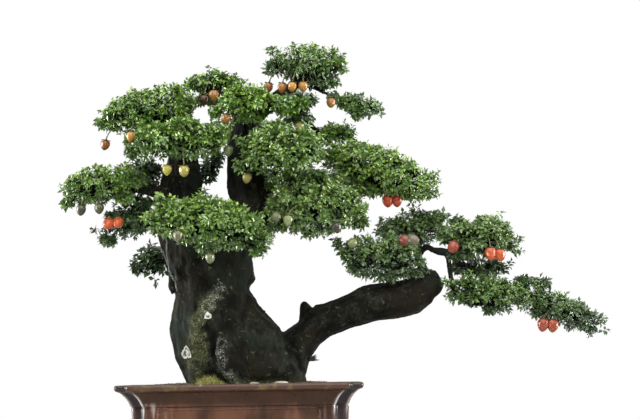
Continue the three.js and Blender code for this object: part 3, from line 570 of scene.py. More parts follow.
@dataclass(frozen=True)
class LeafFinish:
    """A glossy leaf: yellow-green where it is new and, as painted light, where its light mark is high; darker
    where it is aged and, as painted shade, where the mark is low and near its foot; paler underneath.

    dull is what the leaves of a dull cushion fade towards.
    """

    name: str
    young_and_lit: Colour
    grown: Colour
    old: Colour
    under: Colour
    dull: Colour = paint(96, 110, 88)

    def material(self) -> bpy.types.Material:
        """Mix the greens by a leaf's tone, its painted light and its dullness, with painted shade at its
        foot, paler on its midrib.
        """
        graph = Graph(self.name)
        tone = graph.mark("tone")
        light = graph.mark("light")
        # Painted light and shade: a high light mark turns a leaf towards the lit yellow-green, a low one
        # towards the dark green.
        fresh_and_lit = graph.between(graph.sum("MULTIPLY", tone, light), 0.1, 0.75)
        green = graph.blend(graph.between(light, 0.05, 0.6), self.old, self.grown)
        green = graph.blend(fresh_and_lit, green, self.young_and_lit)
        mottle = graph.between(graph.noise(7, 2), 0.35, 0.7, 0, 0.35)
        green = graph.blend(mottle, green, self.old)
        rib = graph.between(graph.mark("across"), 0.0, 0.3, 0.35, 0)
        green = graph.blend(rib, green, self.young_and_lit)
        # Painted shade: each leaf darkens towards its foot, deep among the shoot's other leaves.
        green = graph.blend(graph.between(graph.mark("along"), 0, 0.55, 0.8, 0), green, self.old)
        green = graph.blend(graph.mark("under"), green, self.under)
        green = graph.blend(graph.mark("dullness"), green, self.dull)
        veins = graph.bump(graph.noise(2.4, 2), 0.25, 0.5)
        roughness = graph.between(graph.mark("under"), 0, 1, 0.27, 0.5)
        return graph.dress(Base_Color=green, Roughness=roughness, Normal=veins, Specular_IOR_Level=0.6)


@dataclass(frozen=True)
class BarkFinish:
    """Old dark bark: near black, darker in the hollows as painted shade, grey on worn ridge tops, which is
    wear and painted light together, with brown and green stains, lichen, moss and scars.
    """

    name: str = "bark"
    dark: Colour = paint(9, 9, 7)
    worn: Colour = paint(55, 58, 49)
    brown: Colour = paint(40, 34, 26)
    green: Colour = paint(42, 50, 43)
    olive: Colour = paint(66, 69, 44)
    straw: Colour = paint(138, 142, 104)
    lichen: Colour = paint(168, 171, 158)
    pale: Colour = paint(236, 236, 226)
    heart: Colour = paint(96, 98, 84)

    def material(self) -> bpy.types.Material:
        """Lighten the ridge tops, for wear and painted light, and darken the hollows with painted shade, then
        lay on stains, lichen, moss and scars.
        """
        graph = Graph(self.name)
        patches = graph.noise(46, 5)
        grain = graph.noise(6, 5, (1, 1, 0.45))
        # Painted shade and light: high on ridge tops and low in hollows, this darkens the hollows and, with
        # wear, greys the ridge tops.
        ridge_wear_and_hollow_shade = graph.between(graph.mark("hollow"), 0.1, 0.9)
        worn = graph.sum("MULTIPLY", ridge_wear_and_hollow_shade, graph.between(patches, 0.32, 0.72, 0.1, 1))
        worn = graph.sum("MULTIPLY", worn, graph.between(grain, 0.3, 0.7, 0.25, 1))
        colour = graph.blend(worn, self.dark, self.worn)
        colour = graph.blend(graph.between(graph.noise(70, 4), 0.48, 0.66, 0, 0.5), colour, self.brown)
        stains = graph.between(graph.noise(85, 4, warp=0.4), 0.5, 0.68, 0, 0.45)
        colour = graph.blend(stains, colour, self.green)
        flecks = graph.between(graph.noise(9, 6, warp=0.8), 0.6, 0.72, 0, 0.36)
        colour = graph.blend(graph.sum("MULTIPLY", flecks, ridge_wear_and_hollow_shade), colour, self.straw)
        moss = graph.mark("moss")
        film = graph.sum("MULTIPLY", moss, graph.between(graph.noise(12, 5, warp=1.2), 0.34, 0.6, 0, 0.85))
        colour = graph.blend(film, colour, self.olive)
        swirls = graph.sum("MULTIPLY", moss, graph.between(graph.noise(6, 4, warp=2.2), 0.52, 0.66, 0, 0.85))
        colour = graph.blend(swirls, colour, self.straw)
        chalk = graph.between(graph.noise(4.2, 5, warp=1.6), 0.47, 0.64)
        chalk = graph.sum("MULTIPLY", chalk, graph.between(graph.noise(15, 3), 0.35, 0.6))
        colour = graph.blend(graph.sum("MULTIPLY", chalk, graph.mark("lichen")), colour, self.lichen)
        scar = graph.mark("scar")
        colour = graph.blend(graph.between(scar, 0.2, 0.45), colour, self.pale)
        worm = graph.between(graph.noise(7, 3), 0.4, 0.55)
        heart = graph.sum("MULTIPLY", graph.between(scar, 0.8, 1.0), worm)
        colour = graph.blend(heart, colour, self.heart)
        fine = graph.bump(graph.noise(2.2, 4, (1, 1, 0.5)), 0.35, 0.6)
        rough = graph.bump(grain, 1.5, 0.8, fine)
        shine = graph.between(patches, 0.35, 0.7, 0.6, 0.8)
        return graph.dress(Base_Color=colour, Roughness=shine, Normal=rough, Specular_IOR_Level=0.04)


@dataclass(frozen=True)
class GlazeFinish:
    """Reddish brown glaze: a painted highlight of pale colour down the notches' sharp corners, painted shade
    in the notches and under the lip, chipped on the rim, streaked on the walls.

    groove, flare and lip are heights in metres: where the dark groove fades in and out, where the
    painted shade of the flare under the lip rises, and where the rim's own colour begins.
    """

    name: str = "glaze"
    wall: Colour = paint(104, 69, 51)
    shade: Colour = paint(52, 33, 21)
    rim: Colour = paint(80, 58, 48)
    # Painted shade colour for the notches' recessed faces.
    notch_shade_colour: Colour = paint(44, 38, 42)
    chip: Colour = paint(196, 186, 170)
    moss: Colour = paint(120, 112, 66)
    lime: Colour = paint(206, 200, 190)
    # thin is the painted highlight's pale colour on the notches' convex corners.
    thin: Colour = paint(214, 210, 208)
    streak: Colour = paint(150, 100, 80)
    groove: tuple[float, float, float, float] = (0.1462, 0.1474, 0.1486, 0.1498)
    flare: tuple[float, float] = (0.147, 0.158)
    lip: tuple[float, float] = (0.179, 0.1835)

    def material(self) -> bpy.types.Material:
        """Colour the wall by height with painted shade on the flare, then run streaks down it, chip the rim,
        and paint shade in the notches and highlights down their corners.
        """
        graph = Graph(self.name)
        height = graph.height()
        streaks = graph.noise(13, 4, (1, 1, 0.06))
        clouds = graph.noise(60, 4)
        colour = graph.blend(graph.between(clouds, 0.3, 0.7), self.wall, self.shade)
        colour = graph.blend(graph.between(streaks, 0.5, 0.75, 0, 0.4), colour, self.streak)
        below, bottom, top, above = self.groove
        line = graph.sum("MULTIPLY", graph.between(height, below, bottom), graph.between(height, above, top))
        colour = graph.blend(line, colour, self.shade)
        # Painted shade: the flare under the lip darkens towards the shade colour.
        flare = graph.between(height, *self.flare)
        colour = graph.blend(graph.sum("MULTIPLY", flare, 0.85), colour, self.shade)
        band = graph.between(height, *self.lip)
        colour = graph.blend(band, colour, self.rim)
        mottle = graph.sum("MULTIPLY", band, graph.between(graph.noise(24, 5), 0.48, 0.7, 0, 0.7))
        colour = graph.blend(mottle, colour, self.moss)
        worn = graph.sum("MULTIPLY", graph.mark("edge"), graph.between(graph.noise(14, 5), 0.66, 0.73))
        colour = graph.blend(worn, colour, self.chip)
        drips = graph.sum("MULTIPLY", graph.mark("lime"), graph.between(streaks, 0.42, 0.6))
        specks = graph.between(graph.noise(8, 3), 0.75, 0.8, 0, 0.5)
        colour = graph.blend(graph.sum("MAXIMUM", drips, specks), colour, self.lime)
        # Painted shade on each notch's recessed face and its rim.
        colour = graph.blend(graph.sum("MULTIPLY", graph.mark("pool"), 0.9), colour, self.notch_shade_colour)
        # Painted highlight: pale strips down the notches' convex corners, where a glossy corner catches the
        # light.
        thin = graph.sum("MULTIPLY", graph.mark("ridge"), graph.between(streaks, 0.25, 0.5, 0.55, 1))
        colour = graph.blend(thin, colour, self.thin)
        roughness = graph.between(graph.noise(16, 4), 0.3, 0.7, 0.24, 0.42)
        skin = graph.bump(graph.noise(9, 3), 0.35, 0.5)
        return graph.dress(
            Base_Color=colour,
            Roughness=roughness,
            Normal=skin,
            Specular_IOR_Level=0.1,
            Coat_Weight=0.22,
            Coat_Roughness=0.06,
        )


@dataclass(frozen=True)
class EarthFinish:
    """A crumbling surface of two colours: soil, its grains, stones or moss."""

    name: str
    low: Colour
    high: Colour
    size: float
    roughness: float = 0.92
    depth: float = 0.8

    def material(self) -> bpy.types.Material:
        """Mix two colours by noise at two scales, with a matching bump."""
        graph = Graph(self.name)
        wide = graph.between(graph.noise(self.size, 5), 0.3, 0.7)
        close = graph.between(graph.noise(self.size / 6, 4), 0.35, 0.65)
        colour = graph.blend(wide, self.low, self.high)
        colour = graph.blend(graph.sum("MULTIPLY", close, 0.45), colour, self.low)
        bump = graph.bump(close, self.depth, 0.8)
        return graph.dress(Base_Color=colour, Roughness=self.roughness, Normal=bump)


@dataclass(frozen=True)
class SkinFinish:
    """A ripening berry's skin: its own colour, a blush that spreads from the top, a bloom and freckles.

    Its dark colour is what a berry darkens towards, partly for a darker skin and partly as painted shade, and
    unripe what a green one does.
    """

    name: str
    skin: Colour
    blush: Colour
    bloom: Colour
    dark_skin_and_shade_colour: Colour = paint(34, 22, 14)
    unripe: Colour = paint(92, 96, 72)

    def material(self) -> bpy.types.Material:
        """Blend skin and blush along the berry and by patches, then lay bloom, darkening for a darker skin
        and painted shade, and green over both.
        """
        graph = Graph(self.name)
        patch = graph.between(graph.noise(13, 3), 0.3, 0.7)
        spread = graph.sum("MULTIPLY", graph.mark("rise"), patch)
        amount = graph.sum("ADD", graph.between(spread, 0.12, 0.7, 0, 0.45), graph.mark("blush"))
        colour = graph.blend(graph.sum("MULTIPLY", amount, 0.9), self.skin, self.blush)
        cloud = graph.between(graph.noise(8, 4), 0.25, 0.6, 0.5, 1)
        bloom = graph.sum("MULTIPLY", graph.mark("paleness"), cloud)
        colour = graph.blend(bloom, colour, self.bloom)
        spots = graph.between(graph.cells(1.9), 0.1, 0.26, 0.4, 0)
        colour = graph.blend(spots, colour, self.bloom)
        # Painted shade, partly a darker skin: each fruit's own amount darkens it.
        colour = graph.blend(graph.mark("dusk"), colour, self.dark_skin_and_shade_colour)
        colour = graph.blend(graph.mark("unripe"), colour, self.unripe)
        pores = graph.bump(graph.noise(1.4, 2), 0.12, 0.4)
        return graph.dress(
            Base_Color=colour, Roughness=0.4, Normal=pores, Coat_Weight=0.15, Coat_Roughness=0.25
        )


# The trunk


@dataclass(frozen=True)
class Relief:
    """A ridge or hollow on the trunk's front: a line of x, z, its half width and its height."""

    line: tuple[tuple[float, float], ...]
    width: float
    height: float

    def at(self, points: Array, ragged: Array) -> Array:
        """Give h (1 - (d / w)^2)^2 at distance d from the line, seen from the front.

        Args:
            points: Points in mm.
            ragged: What is added to each distance.

        Returns:
            The rise at each point, none on the back.
        """
        line = np.array(self.line, float)
        start, way = line[:-1], np.diff(line, axis=0)
        away = points[:, None, [0, 2]] - start
        part = np.clip(np.sum(away * way, axis=2) / np.sum(way**2, axis=1), 0, 1)
        gap = np.linalg.norm(away - part[..., None] * way, axis=2).min(axis=1) + ragged
        front = eased(-points[:, 1], 0, 20)
        return front * self.height * np.clip(1 - (np.maximum(gap, 0) / self.width) ** 2, 0, 1) ** 2


@dataclass
class Trunk:
    """The one grown piece of wood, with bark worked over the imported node's shape.

    A limb is a row of places x, y, z down the middle of a stout limb. A scar is x, z and radius on
    the front, a swell x, y, z, radius and height, and a worn spot x, y, z and radius.
    """

    voxel: float = 3.35
    lump_size: float = 64
    lump_depth: float = 3.4
    flute_size: float = 21
    flute_depth: float = 1.5
    bark_size: float = 5.5
    bark_depth: float = 0.6
    smoothing: int = 60
    limbs: tuple[tuple[Place, ...], ...] = (
        ((12, 0, 180), (12, 0, 205), (-19, 0, 262), (-56, 0, 336), (-60, 0, 430), (-79, 2, 515),
         (-60, 5, 570)),
        ((54, 0, 190), (88, 0, 235), (118, 0, 274), (150, 0, 303), (180, 0, 325), (278, 0, 363),
         (376, 0, 378), (443, 0, 397)),
        ((-14, 3, 495), (28, 6, 592), (12, 12, 735), (24, 15, 785), (74, 12, 822), (150, 8, 896)),
        ((-120, 3, 495), (-136, 8, 600), (-128, 4, 690), (-165, -6, 766), (-200, -8, 786)),
    )
    scars: tuple[Place, ...] = ((-118, 262, 15), (-68, 341, 8.5))
    reliefs: tuple[Relief, ...] = (
        Relief(((-49, 394), (-68, 368), (-85, 341), (-94, 315), (-86, 289)), 19, 8),
        Relief(((-130, 460), (-134, 400), (-136, 334)), 14, 5),
        Relief(((-37, 278), (-37, 246), (-29, 222), (-5, 199), (12, 188)), 15, 9),
        Relief(((-25, 446), (-23, 396)), 9, 4.5),
        Relief(((122, 287), (132, 244), (134, 200)), 14, 5),
        Relief(((-72, 425), (-59, 409)), 22, -8),
        Relief(((-51, 300), (-57, 262)), 12, -7),
        Relief(((17, 388), (6, 347), (1, 320)), 12, -5),
        Relief(((0, 206), (42, 199), (92, 201)), 13, -6),
        Relief(((-150, 330), (-146, 270), (-128, 226)), 12, -3),
        Relief(((60, 300), (84, 262), (80, 226)), 22, 5),
    )
    mossy_lines: tuple[Relief, ...] = (
        Relief(((-60, 380), (-72, 360), (-86, 341), (-94, 315), (-84, 284), (-92, 262)), 23, 0.9),
        Relief(((-104, 236), (-84, 212), (-64, 200)), 20, 0.7),
    )
    lichen_lines: tuple[Relief, ...] = (
        Relief(((-42, 408), (-52, 388), (-66, 362), (-72, 346)), 17, 1.2),
        Relief(((-36, 284), (-37, 258), (-38, 236), (-28, 222)), 13, 1.2),
        Relief(((-28, 222), (-12, 206), (6, 192)), 7, 1.0),
        Relief(((-142, 420), (-140, 398)), 6, 1.0),
    )
    swells: tuple[tuple[float, float, float, float, float], ...] = (
        (-158, -20, 284, 30, 4.5), (-148, -20, 250, 22, 3.5), (50, -10, 356, 22, 9.0),
        (24, 0, 408, 8, 4.0), (142, -6, 208, 24, 9.0), (-150, -20, 410, 15, 4.0),
        (165, 0, 358, 12, 8.0), (285, 0, 405, 34, 3.0), (148, 0, 377, 9, -3.5), (-142, -20, 446, 12, 5.0),
    )
    worn_spots: tuple[tuple[float, float, float, float], ...] = (
        (-148, -30, 456, 32), (-168, -10, 314, 30), (158, 0, 356, 12), (-50, 0, 545, 46),
    )
    pale_shoots: tuple[tuple[tuple[Place, ...], float], ...] = (
        (((-166, -34, 560), (-165, -34, 528), (-164, -31, 488), (-164, -22, 456), (-152, -25, 435),
          (-142, -34, 416), (-137, -36, 400)), 2.3),
        (((-206, 6, 502), (-188, -4, 496), (-178, -10, 487), (-172, -12, 472), (-165, -20, 455)), 2.6),
        (((-104, -66, 500), (-116, -96, 501), (-133, -104, 494)), 2.4),
    )
    splinter_root: Place = (147, -12, 243)
    bark: BarkFinish = BarkFinish()
    pale_wood: EarthFinish = EarthFinish("pale_wood", paint(92, 97, 87), paint(150, 155, 142), 12, 0.8, 0.3)
    dead_wood: EarthFinish = EarthFinish("dead_wood", paint(16, 15, 13), paint(42, 38, 32), 12, 0.85, 0.3)

    def grain_places(self, points: Array) -> tuple[Array, Array]:
        """Find each point's place along its nearest limb, and how far out it lies.

        On each segment of a limb line the nearest point is at t = (p - a).(b - a) / |b - a|^2, held
        from 0 to 1. The place is the length so far, the y offset, and the offset square to both.

        Args:
            points: Points in mm.

        Returns:
            The places as along, beside, across, and the distances out.
        """
        starts = np.concatenate([np.array(limb[:-1], float) for limb in self.limbs])
        ends = np.concatenate([np.array(limb[1:], float) for limb in self.limbs])
        way = ends - starts
        length = np.linalg.norm(way, axis=1)
        segments = [np.linalg.norm(np.diff(np.array(limb, float), axis=0), axis=1) for limb in self.limbs]
        begun = np.concatenate([np.cumsum(steps) for steps in segments]) - length
        away = points[:, None] - starts[None]
        part = np.clip(np.sum(away * way, axis=2) / length**2, 0, 1)
        gap = np.linalg.norm(away - part[..., None] * way, axis=2)
        nearest = np.argmin(gap, axis=1)
        row = np.arange(len(points))
        heading = way[nearest] / length[nearest, None]
        side = np.cross(heading, np.array([0, 1.0, 0]))
        off = points - starts[nearest] - part[row, nearest, None] * way[nearest]
        along = begun[nearest] + part[row, nearest] * length[nearest]
        places = np.stack([along, off[:, 1], dot(off, side)[:, 0]], axis=1)
        return places, gap[row, nearest]

    def melted(self, surface: Surface, reach: Array) -> Array:
        """Soften the facets without shrinking the limbs.

        Each round moves every point towards the mean of its neighbours by 0.5, then away by 0.52, and
        away by less at the worn spots, where a corner or crease is worn down.

        Args:
            surface: The remeshed trunk.
            reach: How far each point lies from its limb's middle.

        Returns:
            The new points.
        """
        first, second = surface.edges().T
        count = len(surface.points)
        degree = np.bincount(first, minlength=count) + np.bincount(second, minlength=count)
        weight = np.clip(reach / 26, 0.12, 1)[:, None]
        spots = self.spotted(surface.points, self.worn_spots).max(axis=1)[:, None]
        points = surface.points.copy()
        for step in np.tile([0.5, -0.52], self.smoothing):
            sums = [
                np.bincount(first, points[second, axis], count)
                + np.bincount(second, points[first, axis], count)
                for axis in range(3)
            ]
            moved = step * weight * (1 - spots * (step < 0))
            points += moved * (np.stack(sums, axis=1) / degree[:, None] - points)
        return points

    def spotted(self, points: Array, spots: tuple[tuple[float, ...], ...]) -> Array:
        """Give exp(-(d / r)^2) at distance d from each spot x, y, z, r: point by spot."""
        table = np.array(spots, float)
        gap = np.linalg.norm(points[:, None] - table[None, :, :3], axis=2)
        return np.exp(-((gap / table[None, :, 3]) ** 2))

    def build(self) -> bpy.types.Object:
        """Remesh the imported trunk, melt its facets and raise the bark along each point's normal."""
        surface = node_surface("trunk", self.voxel * (1))
        _, reach = self.grain_places(surface.points)
        surface.points = self.melted(surface, reach)
        points = surface.points
        places, reach = self.grain_places(points)
        long_grain = places * np.array([0.16, 1, 1])
        stout = np.clip(reach / 55, 0.06, 1)
        lumps = Noise(3).layered(points, self.lump_size, 2)
        flutes = 1 - 2 * np.abs(Noise(5).layered(long_grain, self.flute_size, 3))
        fine = Noise(8).layered(places * np.array([0.4, 1, 1]), self.bark_size, 2)
        scar = self.near(points, self.scars)
        ragged = 3 * Noise(17).layered(points, 14, 2)
        forms = np.sum([relief.at(points, ragged) for relief in self.reliefs], axis=0)
        forms += self.spotted(points, self.swells) @ np.array(self.swells)[:, 4]
        rise = stout * (self.lump_depth * lumps + self.flute_depth * (flutes - 0.4) * (1 - scar)) + forms
        rise += np.clip(reach / 20, 0.1, 1) * self.bark_depth * fine * (1 - scar) - 1.6 * scar
        surface.points = points + rise[:, None] * surface.normals()
        surface.marks = {
            # hollow is high on ridge tops and low in hollows: the bark's painted shade and its wear follow
            # it.
            "hollow": np.clip(0.45 + 0.2 * flutes + 0.2 * fine + 0.2 * lumps + 0.05 * forms, 0, 1),
            "moss": self.mossy(points),
            "lichen": self.lichened(points),
            "scar": scar,
        }
        self.build_shoots(surface)
        return piece(surface, "living_wood", Slot.BARK, [self.bark.material()], ("trunk",))

    def build_shoots(self, wood: Surface) -> None:
        """Lay the thin pale shoots on the trunk's left, and a few splinters beside its right foot.

        A shoot's line is smoothed, and each of its points is then moved onto the wood's nearest point
        where that is close by.

        Args:
            wood: The finished trunk.
        """
        parts = []
        out = wood.normals()
        for line, radius in self.pale_shoots:
            corners = np.array(line, float)
            path = filleted(corners, 18, 7, loop=False).reshape(-1, 3)
            step = np.linalg.norm(np.diff(path, axis=0), axis=1)
            path = path[np.concatenate([[True], step > 0.5])]
            gap = np.linalg.norm(path[:, None] - wood.points[None, ::3], axis=2)
            nearest = 3 * np.argmin(gap, axis=1)
            pull = 1 - eased(gap.min(axis=1), 7, 16)[:, None]
            path = path + pull * (wood.points[nearest] + 0.9 * out[nearest] - path)
            radii = radius * np.linspace(1, 0.7, len(path)) * (1 + 0.15 * Noise(77).at(path, 9))
            parts.append(tubes(path[None], radii[None], 10))
        random = np.random.default_rng(78)
        root = np.array(self.splinter_root, float)
        way = unit(np.array([1, 0, 0.1]) + random.normal(0, 0.28, (6, 3)))
        start = root + random.normal(0, 2.2, (6, 3))
        reach = random.uniform(14, 24, (6, 1, 1)) * np.linspace(0, 1, 4)[None, :, None]
        parts.append(tubes(start[:, None] + reach * way[:, None], np.tile([3.4, 3.0, 1.9, 0.3], (6, 1)), 6))
        surface = Surface.joined(parts)
        surface.parts = (surface.parts == len(parts) - 1).astype(int)
        piece(surface, "old_shoots", Slot.BARK, [self.pale_wood.material(), self.dead_wood.material()])

    def near(self, points: Array, spots: tuple[Place, ...]) -> Array:
        """Give 1 in a rough triangle at each spot x, z, radius on the front, and fade to 0 at its edge."""
        centre = np.array(spots)[None, :, :2]
        size = np.array(spots)[None, :, 2]
        off = points[:, None, [0, 2]] - centre
        sides = np.radians([270, 20, 155])
        wedge = np.max(off @ np.stack([np.cos(sides), np.sin(sides)]), axis=2) / (0.62 * size)
        gap = 0.5 * wedge + 0.5 * np.linalg.norm(off, axis=2) / size
        ragged = gap + 0.25 * Noise(12).at(points, 5)[:, None]
        return np.max(1 - eased(ragged, 0.6, 1.05), axis=1) * (points[:, 1] < 0)

    def mossy(self, points: Array) -> Array:
        """Give 1 along the mossy lines, less beside them, and a little near the soil."""
        ragged = 15 * Noise(13).layered(points, 19, 3)
        front = np.max([line.at(points, ragged) for line in self.mossy_lines], axis=0)
        foot = 0.6 * (1 - eased(points[:, 2], 196, 222)) * (0.5 + 0.5 * Noise(14).at(points, 30))
        return np.clip(np.maximum(1.3 * front, foot), 0, 1)

    def lichened(self, points: Array) -> Array:
        """Give 1 along the lichen lines and less beside them."""
        ragged = 9 * Noise(15).layered(points, 14, 3)
        return np.clip(1.2 * np.max([line.at(points, ragged) for line in self.lichen_lines], axis=0), 0, 1)


# The fruits


class Ripeness(Enum):
    """How ripe a persimmon is: the finish of its skin. Each has its slot's name."""

    RED = SkinFinish("red_skin", paint(220, 98, 42), paint(184, 50, 30), paint(232, 150, 116))
    ORANGE = SkinFinish("orange_skin", paint(214, 150, 62), paint(156, 92, 50), paint(222, 190, 110))
    YELLOW = SkinFinish("yellow_skin", paint(206, 190, 78), paint(140, 142, 70), paint(196, 200, 150))
    GREEN = SkinFinish("green_skin", paint(112, 122, 62), paint(52, 56, 40), paint(172, 182, 136))

    @property
    def slot(self) -> Slot:
        """The record's slot."""
        return Slot[self.name]


@dataclass
class Berry:
    """One persimmon, from the places of its foot, its stalk's root and its stalk's end.

    The rest follows: its size against the usual, its axis, its middle, and two ways square to the axis.
    root_part is how far up the stalk's root is, as a part of the height.
    """

    foot: Array
    root: Array
    stalk_end: Array
    height: float = 25.0
    radius: float = 10.6
    calyx: float = 11.5
    root_part: float = 0.97
    size: float = field(init=False)
    axis: Array = field(init=False)
    middle: Array = field(init=False)
    east: Array = field(init=False)
    north: Array = field(init=False)

    def __post_init__(self) -> None:
        """Work out the axis, the size, and two directions square to the axis."""
        line = self.root - self.foot
        self.size = float(np.linalg.norm(line)) / (self.root_part * self.height)
        self.axis = unit(line)
        self.middle = self.foot + 0.5 * self.height * self.size * self.axis
        self.east = unit(np.cross(self.axis, unit(self.stalk_end - self.root) + [0.01, 0.02, 0]))
        self.north = np.cross(self.axis, self.east)

    def turned(self, levels: Array, radii: Array) -> Array:
        """Place rings of points about the axis: middle + level axis + r (cos a east + sin a north).

        Args:
            levels: Height along the axis: ring by point, or ring by one.
            radii: Radius: ring by point.

        Returns:
            One shape for skinned().
        """
        turn = angles(radii.shape[1])
        way = np.cos(turn)[:, None] * self.east + np.sin(turn)[:, None] * self.north
        level = np.broadcast_to(levels, radii.shape)[..., None]
        return (self.middle + level * self.axis + radii[..., None] * way)[None]

    def body(self) -> Surface:
        """Turn an egg that is widest at 0.12 of its height above the middle, pointed below.

        Below the widest ring r = R (1 - |u|^1.9)^0.62, above it r = R (1 - |u|^2.4)^0.5, and a slight
        four-part lobing 1 + 0.025 cos 4a rides on it.
        """
        part = np.sin(np.linspace(-0.5, 0.5, 19) * np.pi) * 0.5
        below = np.clip((0.12 - part) / 0.62, 0, 1)
        above = np.clip((part - 0.12) / 0.36, 0, 1)
        radius = np.where(part < 0.12, (1 - below**1.9) ** 0.62, (1 - above**2.4) ** 0.5)
        keep = slice(1, -1)
        turn = angles(22)
        lobes = 1 + 0.025 * np.cos(4 * turn)
        radii = self.radius * self.size * radius[keep, None] * lobes
        levels = self.height * self.size * np.minimum(part[keep], 0.46)[:, None]
        rise = np.repeat((part[keep] + 0.5)[None, :, None], 22, axis=2)
        return skinned(self.turned(levels, radii), rise=rise)

    def crown(self) -> Surface:
        """Cap the berry with a thin leafy calyx of four lobes, r = C (0.36 + 0.64 |cos 2a|^0.6)."""
        turn = angles(40)
        lobe = 0.36 + 0.64 * np.abs(np.cos(2 * turn)) ** 0.6
        out = np.array([0.1, 0.45, 0.8, 1.0, 0.8, 0.45, 0.1])
        radii = self.calyx * out[:, None] * lobe
        lower = np.arange(7) < 3
        thick = np.where(lower, -0.35, 0.35)
        thick[3] = 0
        top = self.height * self.size * 0.455
        part = radii / self.calyx
        drop = -1.7 * part**2 * (0.6 + 0.4 * np.cos(8 * turn)) + 1.1 * part**6
        levels = top + drop + thick[:, None]
        return skinned(self.turned(levels, radii), rise=np.full((1, 7, 40), 0.5))

    def stalk(self) -> Surface:
        """Bend a thin stalk from the calyx to its twig, 4.2 mm thick at the root and 2.6 at the twig."""
        start = self.root - 1.2 * self.axis
        lean = np.linalg.norm(self.stalk_end - start)
        bend = start + 0.5 * lean * self.axis
        part = np.linspace(0, 1, 7)[:, None]
        path = bent(start, bend, self.stalk_end, part)
        radii = np.array([2.1, 1.45, 1.2, 1.15, 1.15, 1.2, 1.3])
        return tubes(path[None], radii[None], 8, rise=np.full((1, 7), 0.5))


@dataclass(frozen=True)
class Persimmon:
    """How a fruit node looks, each number from 0 to 1. The third is how far it darkens, partly a darker skin
    and partly painted shade. unripe is how green a pair's second berry is.

    hidden is the middle of a pair's first berry, where the second hides its foot.
    """

    blush: float
    paleness: float
    dusk: float
    unripe: float = 0.0
    hidden: Place | None = None


PERSIMMONS: dict[str, Persimmon] = {
    "fruit_01": Persimmon(0.9, 0.0, 0.35),
    "fruit_02": Persimmon(0.15, 0.25, 0.25),
    "fruit_03": Persimmon(0.1, 0.1, 0.12),
    "fruit_04": Persimmon(0.1, 0.15, 0.35),
    "fruit_05": Persimmon(0.8, 0.0, 0.55),
    "fruit_06": Persimmon(0.4, 0.05, 0.6),
    "fruit_07": Persimmon(0.05, 0.05, 0.2),
    "fruit_08": Persimmon(0.6, 0.8, 0.8),
    "fruit_09": Persimmon(0.2, 0.6, 0.5),
    "fruit_10": Persimmon(0.9, 0.0, 0.88),
    "fruit_11": Persimmon(0.35, 0.1, 0.45),
    "fruit_12": Persimmon(0.4, 0.2, 0.45),
    "fruit_13": Persimmon(0.5, 0.2, 0.05),
    "fruit_14": Persimmon(0.4, 0.2, 0.1),
    "fruit_15": Persimmon(0.3, 0.2, 0.4),
    "fruit_16": Persimmon(0.1, 0.3, 0.1),
    "fruit_17": Persimmon(1.0, 0.0, 0.35),
    "fruit_18": Persimmon(0.4, 0.0, 0.3),
    "fruit_19": Persimmon(0.2, 0.2, 0.1),
    "fruit_20": Persimmon(0.3, 0.2, 0.2),
    "fruit_21": Persimmon(0.3, 0.0, 0.45),
    "fruit_22": Persimmon(0.6, 0.4, 0.0),
    "fruit_23": Persimmon(0.6, 0.0, 0.8),
    "fruit_24": Persimmon(0.6, 0.0, 0.35),
    "fruit_25": Persimmon(0.2, 0.15, 0.12),
    "fruit_26": Persimmon(0.5, 0.2, 0.76, unripe=0.85, hidden=(357, -104, 495)),
    "fruit_27": Persimmon(0.6, 0.1, 0.58),
    "fruit_28": Persimmon(0.1, 0.0, 0.36),
    "fruit_29": Persimmon(0.3, 0.0, 0.6),
}


